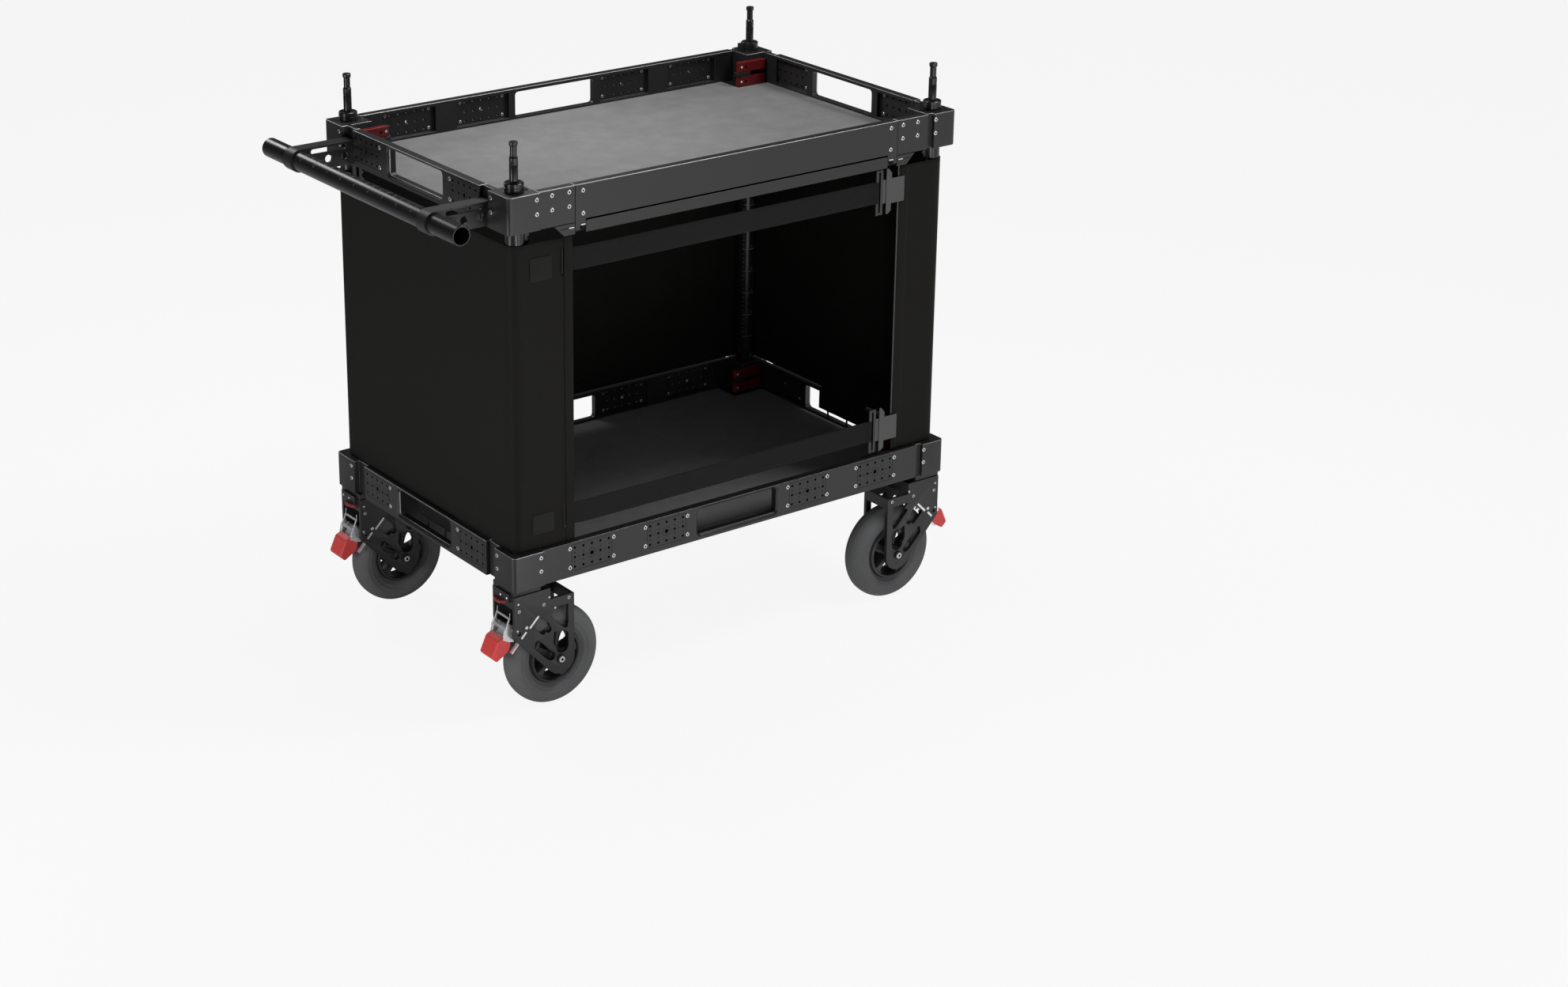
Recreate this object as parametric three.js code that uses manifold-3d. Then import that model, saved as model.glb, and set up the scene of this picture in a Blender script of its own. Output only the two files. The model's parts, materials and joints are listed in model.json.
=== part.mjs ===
// Camera cart: two aluminium trays on four racked posts, with a fabric cover between them,
// a drop gate, a push handle and four swivel casters with foot brakes.
// Millimetres, +Z up. The handle is at the -X end and the open front looks to -Y.

import * as THREE from 'three';
import { mergeVertices } from 'three/addons/utils/BufferGeometryUtils.js';
import Module from 'manifold-3d';

// Clearances
const fit = 0.3;
const slideFit = 0.6;
const overrun = 1;

// Trays
const trayLength = 1044;
const trayWidth = 656;
const frameHeight = 70;
const lowerFrameZ = 263.5;
const upperFrameZ = 956.5;

// Corner blocks
const blockSide = 68;
const blockRadius = 9;
const tongueLength = 34;
const tongueInset = 12;
const tongueThickness = 10;
const recessWidth = 13;
const recessDepth = 9;
const socketFloor = 12;

// Rails
const railSetback = 4;
const railWall = 18;
const ledgeWidth = 8;
const ledgeHeight = 2.5;
const windowLength = 191;
const windowFoot = 11.5;
const windowHead = 7.5;
const windowRadius = 7;
const windowBevel = 5;
const plateWall = 10;
const pocketLength = 122;
const pocketEndGap = 9;
const longPlateShares = [0.38, 0.76];
const endPlateShares = [0.775];

// Decks
const deckThickness = 2.2;
const matThickness = 1.5;

// Posts with their rack and spigot
const postRadius = 18;
const postStand = 18;
const rackWidth = 12;
const rackReach = 9;
const toothPitch = 12.5;
const toothDepth = 4;
const rackStop = 7.5;
const spigotRadius = 8;
const spigotLength = 74.5;
const spigotNeckRadius = 6.3;
const spigotHeadLength = 6;
const spigotTaper = 3;
const spigotNeckLength = 21;

// Front rail, drop gate and hinge rod
const stubLength = 76.7;
const gateGap = 0.5;
const gateBottom = 3.5;
const sillDepth = 22;
const sillHeight = 22.5;
const sillLap = 0.5;
const sillHalfLength = 423.5;
const hingeInset = 6;
const hingeDrop = 11.5;
const gateEarLength = 22.5;
const rodRadius = 2.5;
const rodEnd = 10;

// Gate knobs
const bossLength = 22;
const bossInset = 14;
const bossSize = 16;
const knobZ = 38.5;
const knobOffset = 10;
const pinRadius = 3.5;
const knobRadius = 9;
const knobNeck = 9;
const strikerLength = 12;

// Cam levers
const leverPivotX = 58;
const leverPivotY = 41;
const leverReach = 62;
const leverThickness = 13;
const leverHeight = 20;
const leverLowZ = 7.5;
const leverHighZ = 38.5;
const leverPinRadius = 4;
const earLength = 32;
const earWidth = 14;

// Push handle
const handleReach = 109;
const handleRise = 26.5;
const handleOverhang = 18;
const handleRadius = 19;
const handleWall = 3;
const bracketWidth = 30;
const bracketWeb = 5;
const bracketFoot = 7;
const bracketArm = 3;
const bracketDrop = 1.5;
const bracketBaseReach = 53;
const bracketSlotHeight = 10;
const bracketSlotEnd = 12;
const bracketHoleRadius = 8;
const bracketHolePitch = 34;
const collarWall = 3.2;

// Casters: kingpin axis at x = y = 0, the wheel trails towards +x, the floor is z = 0
const casterInset = 44;
const trail = 72.5;
const wheelRadius = 100;
const wheelSides = 32;
const tyreWidth = 51;
const tyreShoulder = 20;
const tyreStepRadius = 78;
const tyreFootRadius = 69;
const tyreFootWidth = 44;
const rimRadius = 57.7;
const rimInnerRadius = 45;
const rimWidth = 42;
const hubRadius = 16;
const hubWidth = 56;
const spokeCount = 5;
const spokeWidth = 13;
const spokeThickness = 26;
const axleRadius = 6;
const axleHeadRadius = 9;
const axleHeadLength = 4;
const forkWidth = 75;
const forkPlate = 7;
const forkTopZ = 252;
const forkFrontX = 30;
const forkBridgeEnd = 50;
const forkBridgeHeight = 26;
const forkStepZ = 229;
const forkCornerZ = 166;
const forkBossRadius = 31;
const forkBarHeight = 22;
const forkBarThickness = 6;
const forkRim = 13.5;
const forkTriangleTop = 19;
const forkTriangleWidth = 41;
const forkTriangleHeight = 40;
const forkHoleWidth = 28;
const forkHoleHeight = 46;
const forkHoleZ = 135;
const forkHoleRadius = 13;
const forkSlotWidth = 13;
const forkLowSlotInset = 23;
const forkLowSlotFrom = 50;
const forkLowSlotTo = 88;
const forkHighSlotInset = 57;
const forkHighSlotFrom = 20;
const forkHighSlotTo = 50;
const kingpinRadius = 12;
const kingpinHeadRadius = 17;
const kingpinHeadHeight = 5;
const mountPlateX = 60;
const mountPlateY = 72;

// Brake pedal
const pedalPivotX = 20;
const pedalPivotZ = 176;
const pedalPinRadius = 4;
const pedalBarrelRadius = 9;
const pedalBarrelWidth = 44;
const pedalArmWidth = 36;
const pedalArmThickness = 11;
const padWidth = 44;
const padTop = { x: 57, z: 165 };
const padToe = { x: 71.5, z: 133 };
const padHeel = { x: 60, z: 122 };
const padBack = { x: 33, z: 138 };
const padNeck = { x: 28, z: 154 };
const padCrown = { x: 44, z: 170.5 };
const padRibs = 5;
const padRibDepth = 2;
const ribShare = 0.5;

// Cover and straps
const coverThickness = 2;
const coverGap = 0.5;
const coverHemGap = 2.5;
const coverTopGap = 26.5;
const leftFlapX = 378;
const rightFlapX = 392;
const flapSlotX = 399;
const flapSlotWidth = 4;
const strapHeight = 44;
const strapThickness = 1.8;
const strapEndX = 341;
const lowerStrapRise = 51.5;
const upperStrapDrop = 44.5;
const clipBarWidth = 18;
const clipGap = 8;
const clipLength = 45;
const clipHeight = 92;

// Derived places
const quarterTurn = Math.PI / 2;
const halfLength = trayLength / 2;
const halfWidth = trayWidth / 2;
const lowerFrameTop = lowerFrameZ + frameHeight;
const upperFrameTop = upperFrameZ + frameHeight;
const windowHeight = frameHeight - windowFoot - windowHead;
const postTopZ = upperFrameTop + postStand;
const handleX = halfLength + handleReach;
const handleZ = upperFrameZ + handleRise;
const bracketY = halfWidth - blockSide - tongueLength / 2;
const coverHemZ = lowerFrameTop + coverHemGap;
const coverTopZ = upperFrameZ - coverTopGap;
const lowerStrapZ = coverHemZ + lowerStrapRise;
const upperStrapZ = coverTopZ - upperStrapDrop;
const blockHalf = blockSide / 2;
const postX = halfLength - blockHalf;
const postY = halfWidth - blockHalf;
const railInnerX = halfLength - railSetback - railWall;
const railOuterY = halfWidth - railSetback;
const railInnerY = railOuterY - railWall;
const longRailHalf = halfLength - blockSide - fit;
const endRailHalf = halfWidth - blockSide - tongueLength - fit;
const matNotchX = postX - leverPivotX - leverThickness / 2 - fit;
const matNotchY = postY - leverPivotY - leverThickness / 2 - fit;
const casterY = halfWidth - casterInset;
const stubEnd = longRailHalf - stubLength;
const gateEnd = stubEnd - gateGap;
const forkInner = forkWidth / 2 - forkPlate;
const forkBackX = trail + forkBossRadius;
const coverOuter = postRadius + coverGap + coverThickness;

// Finishes
const finish = (color, roughness, metalness) =>
  new THREE.MeshStandardMaterial({ color, roughness, metalness });
const anodised = finish(0x2a2a2b, 0.45, 0.7);
const castBlack = finish(0x242425, 0.6, 0.5);
const matGrey = finish(0x6e6e6e, 0.85, 0);
const fabricBlack = finish(0x1d1c1a, 0.8, 0);
const rubberGrey = finish(0x6a6a6a, 0.9, 0);
const plasticBlack = finish(0x1c1c1c, 0.5, 0);
const plasticRed = finish(0xc83737, 0.5, 0);
const leverRed = finish(0x7c1f22, 0.4, 0.6);
const steel = finish(0xb8b8b8, 0.3, 1);

// Solids
const wasm = await Module();
wasm.setup();

function solidOf(geometry) {
  geometry.deleteAttribute('normal');
  geometry.deleteAttribute('uv');
  const merged = mergeVertices(geometry);
  return new wasm.Manifold(new wasm.Mesh({
    numProp: 3,
    vertProperties: merged.attributes.position.array,
    triVerts: new Uint32Array(merged.index.array),
  }));
}

function geometryOf(solid) {
  const mesh = solid.getMesh();
  const geometry = new THREE.BufferGeometry();
  geometry.setAttribute('position', new THREE.BufferAttribute(mesh.vertProperties, 3));
  geometry.setIndex(new THREE.BufferAttribute(mesh.triVerts, 1));
  return geometry;
}

const join = (...solids) => solids.reduce((whole, piece) => whole.add(piece));
const cut = (body, ...tools) => tools.reduce((left, tool) => left.subtract(tool), body);

function box(x0, x1, y0, y1, z0, z1) {
  const geometry = new THREE.BoxGeometry(Math.abs(x1 - x0), Math.abs(y1 - y0), Math.abs(z1 - z0));
  geometry.translate((x0 + x1) / 2, (y0 + y1) / 2, (z0 + z1) / 2);
  return solidOf(geometry);
}

// A round bar along x, y or z, between two stations on that axis
function bar(axis, radius, from, to, centre, sides = 16) {
  const geometry = new THREE.CylinderGeometry(radius, radius, Math.abs(to - from), sides);
  if (axis === 'x') geometry.rotateZ(quarterTurn);
  if (axis === 'z') geometry.rotateX(quarterTurn);
  const middle = new THREE.Vector3(...centre);
  middle[axis] = (from + to) / 2;
  geometry.translate(middle.x, middle.y, middle.z);
  return solidOf(geometry);
}

// A profile of [radius, station] points turned round the z or y axis
function turned(points, sides, axis = 'z') {
  const outline = points.map(([r, station]) => new THREE.Vector2(r, station));
  const geometry = new THREE.LatheGeometry(outline, sides);
  if (axis === 'z') geometry.rotateX(quarterTurn);
  return solidOf(geometry);
}

const shapeOf = (points) => new THREE.Shape(points.map(([u, v]) => new THREE.Vector2(u, v)));

// An outline in x and y, from z0 up to z1
function flatPlate(shape, z0, z1, curveSegments = 4) {
  const geometry = new THREE.ExtrudeGeometry(shape, { depth: z1 - z0, bevelEnabled: false, curveSegments });
  geometry.translate(0, 0, z0);
  return solidOf(geometry);
}

// An outline in x and z, from y0 back to y1
function uprightPlate(shape, y0, y1, curveSegments = 4) {
  const geometry = new THREE.ExtrudeGeometry(shape, { depth: y1 - y0, bevelEnabled: false, curveSegments });
  geometry.rotateX(quarterTurn);
  geometry.translate(0, y1, 0);
  return solidOf(geometry);
}

function roundedRectangle(width, height, radius, centreU, centreV) {
  const u = width / 2 - radius;
  const v = height / 2 - radius;
  const shape = new THREE.Shape();
  for (const [su, sv, turn] of [[1, -1, -1], [1, 1, 0], [-1, 1, 1], [-1, -1, 2]]) {
    const start = turn * quarterTurn;
    shape.absarc(centreU + su * u, centreV + sv * v, radius, start, start + quarterTurn, false);
  }
  return shape;
}

// A bar outline with round ends, from one centre to the other
function roundEnded([u0, v0], [u1, v1], width) {
  const heading = Math.atan2(v1 - v0, u1 - u0);
  const shape = new THREE.Shape();
  shape.absarc(u1, v1, width / 2, heading - quarterTurn, heading + quarterTurn, false);
  shape.absarc(u0, v0, width / 2, heading + quarterTurn, heading + 3 * quarterTurn, false);
  return shape;
}

// The cart and its corners
const cart = new THREE.Group();

function place(parent, name, solid, material, x = 0, y = 0, z = 0) {
  const mesh = new THREE.Mesh(geometryOf(solid), material);
  mesh.name = name;
  mesh.position.set(x, y, z);
  parent.add(mesh);
  return mesh;
}

const corners = [
  { corner: 'front_left', sx: -1, sy: -1 },
  { corner: 'front_right', sx: 1, sy: -1 },
  { corner: 'rear_left', sx: -1, sy: 1 },
  { corner: 'rear_right', sx: 1, sy: 1 },
];

// Corner block: post axis at x = y = 0, outer faces towards +x and +y, underside at z = 0
function cornerBlock(hasRecess) {
  const outline = new THREE.Shape();
  outline.moveTo(-blockHalf, -blockHalf);
  outline.lineTo(blockHalf, -blockHalf);
  const roundAt = blockHalf - blockRadius;
  outline.absarc(roundAt, roundAt, blockRadius, 0, quarterTurn, false);
  outline.lineTo(-blockHalf, blockHalf);
  const tongueX = blockHalf - tongueInset;
  const tongue = box(
    tongueX - tongueThickness, tongueX, -blockHalf - tongueLength, overrun - blockHalf, 0, frameHeight);
  const block = join(flatPlate(outline, 0, frameHeight), tongue);
  if (!hasRecess) {
    return block;
  }
  const recess = box(
    -blockHalf - overrun, recessWidth - blockHalf, blockHalf - recessDepth, blockHalf + overrun,
    -overrun, frameHeight + overrun);
  return cut(block, recess);
}

// Lower block with a socket for the post, the caster's plate and its headed kingpin
function lowerBlock(hasRecess) {
  const centreY = blockHalf - casterInset;
  const plateBottom = forkTopZ + slideFit - lowerFrameZ;
  const headTop = forkTopZ - forkBridgeHeight - slideFit - lowerFrameZ;
  const socket = bar('z', postRadius + slideFit, socketFloor, frameHeight + overrun, [0, 0, 0], 20);
  const plate = box(
    -mountPlateX / 2, mountPlateX / 2, centreY - mountPlateY / 2, centreY + mountPlateY / 2,
    plateBottom, overrun);
  const stem = bar('z', kingpinRadius, headTop - overrun, 0, [0, centreY, 0]);
  const head = bar('z', kingpinHeadRadius, headTop - kingpinHeadHeight, headTop, [0, centreY, 0]);
  return join(cut(cornerBlock(hasRecess), socket), plate, stem, head);
}

// Upper block: slides on the racked post and carries an ear for the cam lever
function upperBlock(hasRecess) {
  const bore = bar('z', postRadius + slideFit, -overrun, frameHeight + overrun, [0, 0, 0], 20);
  const slotHalf = rackWidth / 2 + slideFit;
  const slotEnd = postRadius + rackReach + slideFit;
  const rackSlot = box(-slotEnd, 0, -slotHalf, slotHalf, -overrun, frameHeight + overrun);
  const earBottom = leverLowZ + leverHeight + overrun;
  const earTop = leverHighZ - overrun;
  const ear = box(
    -blockHalf - earLength, overrun - blockHalf, -blockHalf - earWidth, overrun - blockHalf,
    earBottom, earTop);
  const pinBore = bar(
    'z', leverPinRadius + fit, earBottom - overrun, earTop + overrun, [-leverPivotX, -leverPivotY, 0], 12);
  return cut(join(cornerBlock(hasRecess), ear), bore, rackSlot, pinBore);
}

// Rail along x: inner face at y = 0, outer face towards +y, underside at z = 0.
// Behind each accessory plate the wall is thinned from the inside.
function rail(half, plateShares) {
  const wall = box(-half, half, 0, railWall, 0, frameHeight);
  const ledge = box(-half, half, -ledgeWidth, overrun, 0, ledgeHeight);
  const opening = roundedRectangle(
    windowLength, windowHeight, windowRadius, 0, windowFoot + windowHeight / 2);
  const flare = new THREE.ExtrudeGeometry(opening, {
    depth: windowBevel, bevelThickness: windowBevel, bevelSize: windowBevel, bevelSegments: 1,
    curveSegments: 3,
  });
  flare.rotateX(quarterTurn);
  flare.translate(0, railWall + windowBevel, 0);
  const pockets = [-1, 1].flatMap((side) => plateShares.map((share) => {
    const middle = share * half;
    const far = Math.min(middle + pocketLength / 2, half - pocketEndGap);
    return box(
      side * (middle - pocketLength / 2), side * far, -overrun, railWall - plateWall,
      windowFoot, frameHeight - windowHead);
  }));
  return cut(join(wall, ledge), uprightPlate(opening, -overrun, railWall, 3), solidOf(flare), ...pockets);
}

// Sheet between the rails with its corners cut out
function deckSheet(z0, thickness, notchX, notchY) {
  const [x, y] = [railInnerX - fit, railInnerY - fit];
  const sheet = box(-x, x, -y, y, z0, z0 + thickness);
  const notches = corners.map(({ sx, sy }) => box(
    sx * notchX, sx * halfLength, sy * notchY, sy * halfWidth, z0 - overrun, z0 + thickness + overrun));
  return cut(sheet, ...notches);
}

// Post: a round column with its rack towards -x and a spigot on top
function post() {
  const bottom = lowerFrameZ + socketFloor + fit;
  const spigotTop = postTopZ + spigotLength;
  const neckTop = spigotTop - spigotHeadLength - spigotTaper;
  const neckBottom = neckTop - spigotNeckLength;
  const column = turned([
    [0, bottom], [postRadius, bottom], [postRadius, postTopZ], [spigotRadius, postTopZ],
    [spigotRadius, neckBottom], [spigotNeckRadius, neckBottom + spigotTaper], [spigotNeckRadius, neckTop],
    [spigotRadius, neckTop + spigotTaper], [spigotRadius, spigotTop], [0, spigotTop],
  ], 20);
  const rackBottom = lowerFrameTop + toothDepth;
  const teeth = Math.floor((upperFrameTop - rackStop - rackBottom) / toothPitch);
  const rootX = toothDepth - postRadius - rackReach;
  const outline = [[0, rackBottom]];
  for (let i = 0; i < teeth; i += 1) {
    const z = rackBottom + i * toothPitch;
    outline.push([rootX, z], [rootX - toothDepth, z + toothPitch / 2]);
  }
  const rackTop = rackBottom + teeth * toothPitch;
  outline.push([rootX, rackTop], [0, rackTop]);
  return join(column, uprightPlate(shapeOf(outline), -rackWidth / 2, rackWidth / 2));
}

// Cam lever: two red bars on one upright pin, in the block's own frame
function camLever() {
  const pivot = [-leverPivotX, -leverPivotY];
  const outline = roundEnded(pivot, [leverReach - leverPivotX, -leverPivotY], leverThickness);
  return join(
    flatPlate(outline, leverLowZ, leverLowZ + leverHeight),
    flatPlate(outline, leverHighZ, leverHighZ + leverHeight),
    bar('z', leverPinRadius, leverLowZ + overrun, leverHighZ + overrun, [...pivot, 0], 12));
}

for (const { corner, sx, sy } of corners) {
  const isRight = sx > 0;
  const pieces = [
    place(cart, `lower_block_${corner}`, lowerBlock(isRight), castBlack, 0, 0, lowerFrameZ),
    place(cart, `post_${corner}`, post(), anodised),
    place(cart, `upper_block_${corner}`, upperBlock(isRight), castBlack, 0, 0, upperFrameZ),
    place(cart, `cam_lever_${corner}`, camLever(), leverRed, 0, 0, upperFrameZ),
  ];
  for (const piece of pieces) {
    piece.position.x = sx * postX;
    piece.position.y = sy * postY;
    piece.scale.set(sx, sy, 1);
  }
}

for (const [tray, frameZ] of [['lower', lowerFrameZ], ['upper', upperFrameZ]]) {
  const deckZ = ledgeHeight + fit;
  const matZ = deckZ + deckThickness + fit;
  const deck = deckSheet(deckZ, deckThickness, longRailHalf, halfWidth - blockSide - fit);
  const mat = deckSheet(matZ, matThickness, matNotchX, matNotchY);
  place(cart, `${tray}_deck`, deck, anodised, 0, 0, frameZ);
  place(cart, `${tray}_mat`, mat, matGrey, 0, 0, frameZ);
  const longRail = rail(longRailHalf, longPlateShares);
  place(cart, `${tray}_rail_rear`, longRail, anodised, 0, railInnerY, frameZ);
  place(cart, `${tray}_rail_left`, rail(endRailHalf, endPlateShares), anodised, -railInnerX, 0, frameZ)
    .rotation.z = quarterTurn;
  place(cart, `${tray}_rail_right`, rail(endRailHalf, endPlateShares), anodised, railInnerX, 0, frameZ)
    .rotation.z = -quarterTurn;
}
place(cart, 'lower_rail_front', rail(longRailHalf, longPlateShares), anodised, 0, -railInnerY, lowerFrameZ)
  .rotation.z = 2 * quarterTurn;

// Front of the upper tray, in a frame with its outer face at y = 0 and the tray's underside at z = 0
const hinge = [0, hingeInset, -hingeDrop];
const knobY = railWall + knobOffset;

// Two stubs on a sill, with the gate's pockets, its rod bore and a striker for each knob
function frontRail() {
  const sillTop = sillLap;
  const sillBottom = sillTop - sillHeight;
  const sillFoot = sillHalfLength - sillHeight;
  const sill = uprightPlate(shapeOf([
    [-sillFoot, sillBottom], [sillFoot, sillBottom], [sillHalfLength, sillTop], [-sillHalfLength, sillTop],
  ]), 0, sillDepth);
  const ledge = box(
    -longRailHalf, longRailHalf, railWall - sillLap, railWall + ledgeWidth, 0, ledgeHeight - overrun);
  const parts = [sill, ledge];
  const cuts = [bar('x', rodRadius + fit, -gateEnd - rodEnd - fit, gateEnd + rodEnd + fit, hinge, 12)];
  for (const side of [-1, 1]) {
    parts.push(box(side * stubEnd, side * longRailHalf, 0, railWall, 0, frameHeight));
    parts.push(box(
      side * stubEnd, side * (stubEnd + strikerLength), railWall - overrun, knobY + bossSize / 2,
      knobZ - bossSize / 2, knobZ + bossSize / 2));
    cuts.push(box(
      side * (gateEnd - gateEarLength - fit), side * (gateEnd + fit), -overrun, 2 * hingeInset + slideFit,
      sillBottom - overrun, sillTop + overrun));
    cuts.push(bar(
      'x', pinRadius + slideFit, side * (stubEnd - overrun), side * (stubEnd + strikerLength / 2),
      [0, knobY, knobZ], 12));
  }
  return cut(join(...parts), ...cuts);
}

function dropGate() {
  const parts = [box(-gateEnd, gateEnd, 0, railWall, gateBottom, frameHeight)];
  const cuts = [bar('x', rodRadius + fit, -gateEnd - overrun, gateEnd + overrun, hinge, 12)];
  for (const side of [-1, 1]) {
    const [inner, outer] = [side * (gateEnd - gateEarLength), side * gateEnd];
    const bossFrom = side * (gateEnd - bossInset - bossLength);
    const bossTo = side * (gateEnd - bossInset);
    parts.push(box(inner, outer, 0, 2 * hingeInset, -hingeDrop, gateBottom + overrun));
    parts.push(bar('x', hingeInset, inner, outer, hinge, 20));
    parts.push(box(
      bossFrom, bossTo, railWall - overrun, knobY + bossSize / 2,
      knobZ - bossSize / 2, knobZ + bossSize / 2));
    cuts.push(bar('x', pinRadius + slideFit, bossFrom - side * overrun, bossTo + side * overrun,
      [0, knobY, knobZ], 12));
  }
  return cut(join(...parts), ...cuts);
}

// Knob with its pin, for the +x end
function gateKnob() {
  const ballX = gateEnd - bossInset - bossLength - knobNeck - knobRadius / 2;
  const ball = new THREE.SphereGeometry(knobRadius, 14, 10);
  ball.translate(ballX, knobY, knobZ);
  return join(solidOf(ball), bar('x', pinRadius, ballX, gateEnd + gateGap - fit, [0, knobY, knobZ], 12));
}

place(cart, 'upper_rail_front', frontRail(), anodised, 0, -railOuterY, upperFrameZ);
place(cart, 'drop_gate', dropGate(), anodised, 0, -railOuterY, upperFrameZ);
place(cart, 'gate_hinge_rod', bar('x', rodRadius, -gateEnd - rodEnd, gateEnd + rodEnd, hinge, 12),
  steel, 0, -railOuterY, upperFrameZ);
place(cart, 'gate_knob_left', gateKnob(), plasticRed, 0, -railOuterY, upperFrameZ).scale.x = -1;
place(cart, 'gate_knob_right', gateKnob(), plasticRed, 0, -railOuterY, upperFrameZ);

// Push handle: one tube held by two perforated brackets, both drawn about their own middle plane
function handleBracket() {
  const collarRadius = handleRadius + fit + collarWall;
  const topZ = handleZ + collarRadius;
  const baseZ = upperFrameZ - bracketDrop;
  const footX = postX + blockHalf - tongueInset + fit;
  const half = bracketWidth / 2;
  const foot = box(-footX, -footX - bracketFoot, -half, half, baseZ, topZ);
  const arm = box(-footX, -handleX, -half, half, topZ - bracketArm, topZ);
  const web = uprightPlate(shapeOf([
    [-footX, baseZ], [-footX, topZ], [-handleX, topZ], [-handleX, handleZ - collarRadius],
    [-halfLength - bracketBaseReach, baseZ],
  ]), -bracketWeb / 2, bracketWeb / 2);
  const collar = bar('y', collarRadius, -half, half, [-handleX, 0, handleZ], 24);
  const reach = bracketWidth;
  const slotZ = topZ - bracketArm - bracketSlotHeight;
  const slotFrom = footX + bracketFoot + bracketSlotEnd;
  const slotTo = handleX - collarRadius - bracketSlotEnd;
  const slot = uprightPlate(
    roundEnded([-slotFrom, slotZ], [-slotTo, slotZ], bracketSlotHeight), -reach, reach);
  const holeZ = (baseZ + slotZ) / 2;
  const holes = [0, 1].map((i) => bar(
    'y', bracketHoleRadius, -reach, reach, [-slotFrom - i * bracketHolePitch, 0, holeZ], 12));
  const bore = bar('y', handleRadius + fit, -reach, reach, [-handleX, 0, handleZ], 24);
  return cut(join(foot, arm, cut(web, slot, ...holes), collar), bore);
}

const tubeHalf = halfWidth + handleOverhang;
const handleTube = cut(
  bar('y', handleRadius, -tubeHalf, tubeHalf, [-handleX, 0, handleZ], 24),
  bar('y', handleRadius - handleWall, -tubeHalf - overrun, tubeHalf + overrun, [-handleX, 0, handleZ], 24));
place(cart, 'handle_tube', handleTube, castBlack);
place(cart, 'handle_bracket_front', handleBracket(), castBlack, 0, -bracketY, 0);
place(cart, 'handle_bracket_rear', handleBracket(), castBlack, 0, bracketY, 0);

// Fork plate outline with its windows; the two slots run along its slanted edge
function forkOutline() {
  const reachX = forkFrontX + trail;
  const reachZ = forkCornerZ - wheelRadius;
  const slope = -Math.atan2(reachZ, reachX) - Math.asin(forkBossRadius / Math.hypot(reachX, reachZ));
  const outline = new THREE.Shape();
  outline.moveTo(-forkFrontX, forkTopZ);
  outline.lineTo(-forkFrontX, forkCornerZ);
  outline.absarc(trail, wheelRadius, forkBossRadius, slope - quarterTurn, 0, false);
  outline.lineTo(forkBackX, forkStepZ);
  outline.lineTo(forkBridgeEnd, forkStepZ);
  outline.lineTo(forkBridgeEnd, forkTopZ);
  const beside = (along, inset) => [
    -forkFrontX + along * Math.cos(slope) - inset * Math.sin(slope),
    forkCornerZ + along * Math.sin(slope) + inset * Math.cos(slope),
  ];
  const rightX = forkBackX - forkRim;
  const triangleTop = forkStepZ - forkTriangleTop;
  outline.holes.push(
    shapeOf([
      [rightX, triangleTop], [rightX - forkTriangleWidth, triangleTop],
      [rightX, triangleTop - forkTriangleHeight],
    ]),
    roundedRectangle(forkHoleWidth, forkHoleHeight, forkHoleRadius, rightX - forkHoleWidth / 2, forkHoleZ),
    roundEnded(
      beside(forkLowSlotFrom, forkLowSlotInset), beside(forkLowSlotTo, forkLowSlotInset), forkSlotWidth),
    roundEnded(
      beside(forkHighSlotFrom, forkHighSlotInset), beside(forkHighSlotTo, forkHighSlotInset), forkSlotWidth),
  );
  return outline;
}

// Fork: two plates, a bridge over the kingpin and a bar at the trailing end
function fork() {
  const outer = forkWidth / 2;
  const grip = forkInner + overrun;
  const bridgeBottom = forkTopZ - forkBridgeHeight;
  const outline = forkOutline();
  return cut(
    join(
      uprightPlate(outline, forkInner, outer, 3),
      uprightPlate(outline, -outer, -forkInner, 3),
      box(-forkFrontX, forkBridgeEnd, -grip, grip, bridgeBottom, forkTopZ),
      box(forkBackX - forkBarThickness, forkBackX, -grip, grip, forkStepZ - forkBarHeight, forkStepZ)),
    bar('z', kingpinRadius + slideFit, bridgeBottom - overrun, forkTopZ + overrun, [0, 0, 0]),
    bar('y', axleRadius + fit, -outer - overrun, outer + overrun, [trail, 0, wheelRadius], 12),
    bar('y', pedalPinRadius + fit, -outer - overrun, outer + overrun, [-pedalPivotX, 0, pedalPivotZ], 12));
}

// Axle bolt, hub and tyre, each about its own middle
function axleBolt() {
  const seat = forkWidth / 2 + fit;
  const end = seat + axleHeadLength;
  return turned([
    [0, -end], [axleHeadRadius, -end], [axleHeadRadius, -seat], [axleRadius, -seat],
    [axleRadius, seat], [axleHeadRadius, seat], [axleHeadRadius, end], [0, end],
  ], 12, 'y');
}

function hub() {
  const half = rimWidth / 2;
  const rim = turned([
    [rimInnerRadius, -half], [rimRadius, -half], [rimRadius, half], [rimInnerRadius, half],
    [rimInnerRadius, -half],
  ], wheelSides, 'y');
  const spokes = [];
  for (let i = 0; i < spokeCount; i += 1) {
    const spoke = new THREE.BoxGeometry(rimInnerRadius, spokeThickness, spokeWidth);
    spoke.translate(rimInnerRadius / 2 + overrun, 0, 0);
    spoke.rotateY((i / spokeCount) * 4 * quarterTurn);
    spokes.push(solidOf(spoke));
  }
  const barrel = bar('y', hubRadius, -hubWidth / 2, hubWidth / 2, [0, 0, 0], 20);
  const bore = bar('y', axleRadius + fit, -hubWidth, hubWidth, [0, 0, 0], 12);
  return cut(join(rim, barrel, ...spokes), bore);
}

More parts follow.
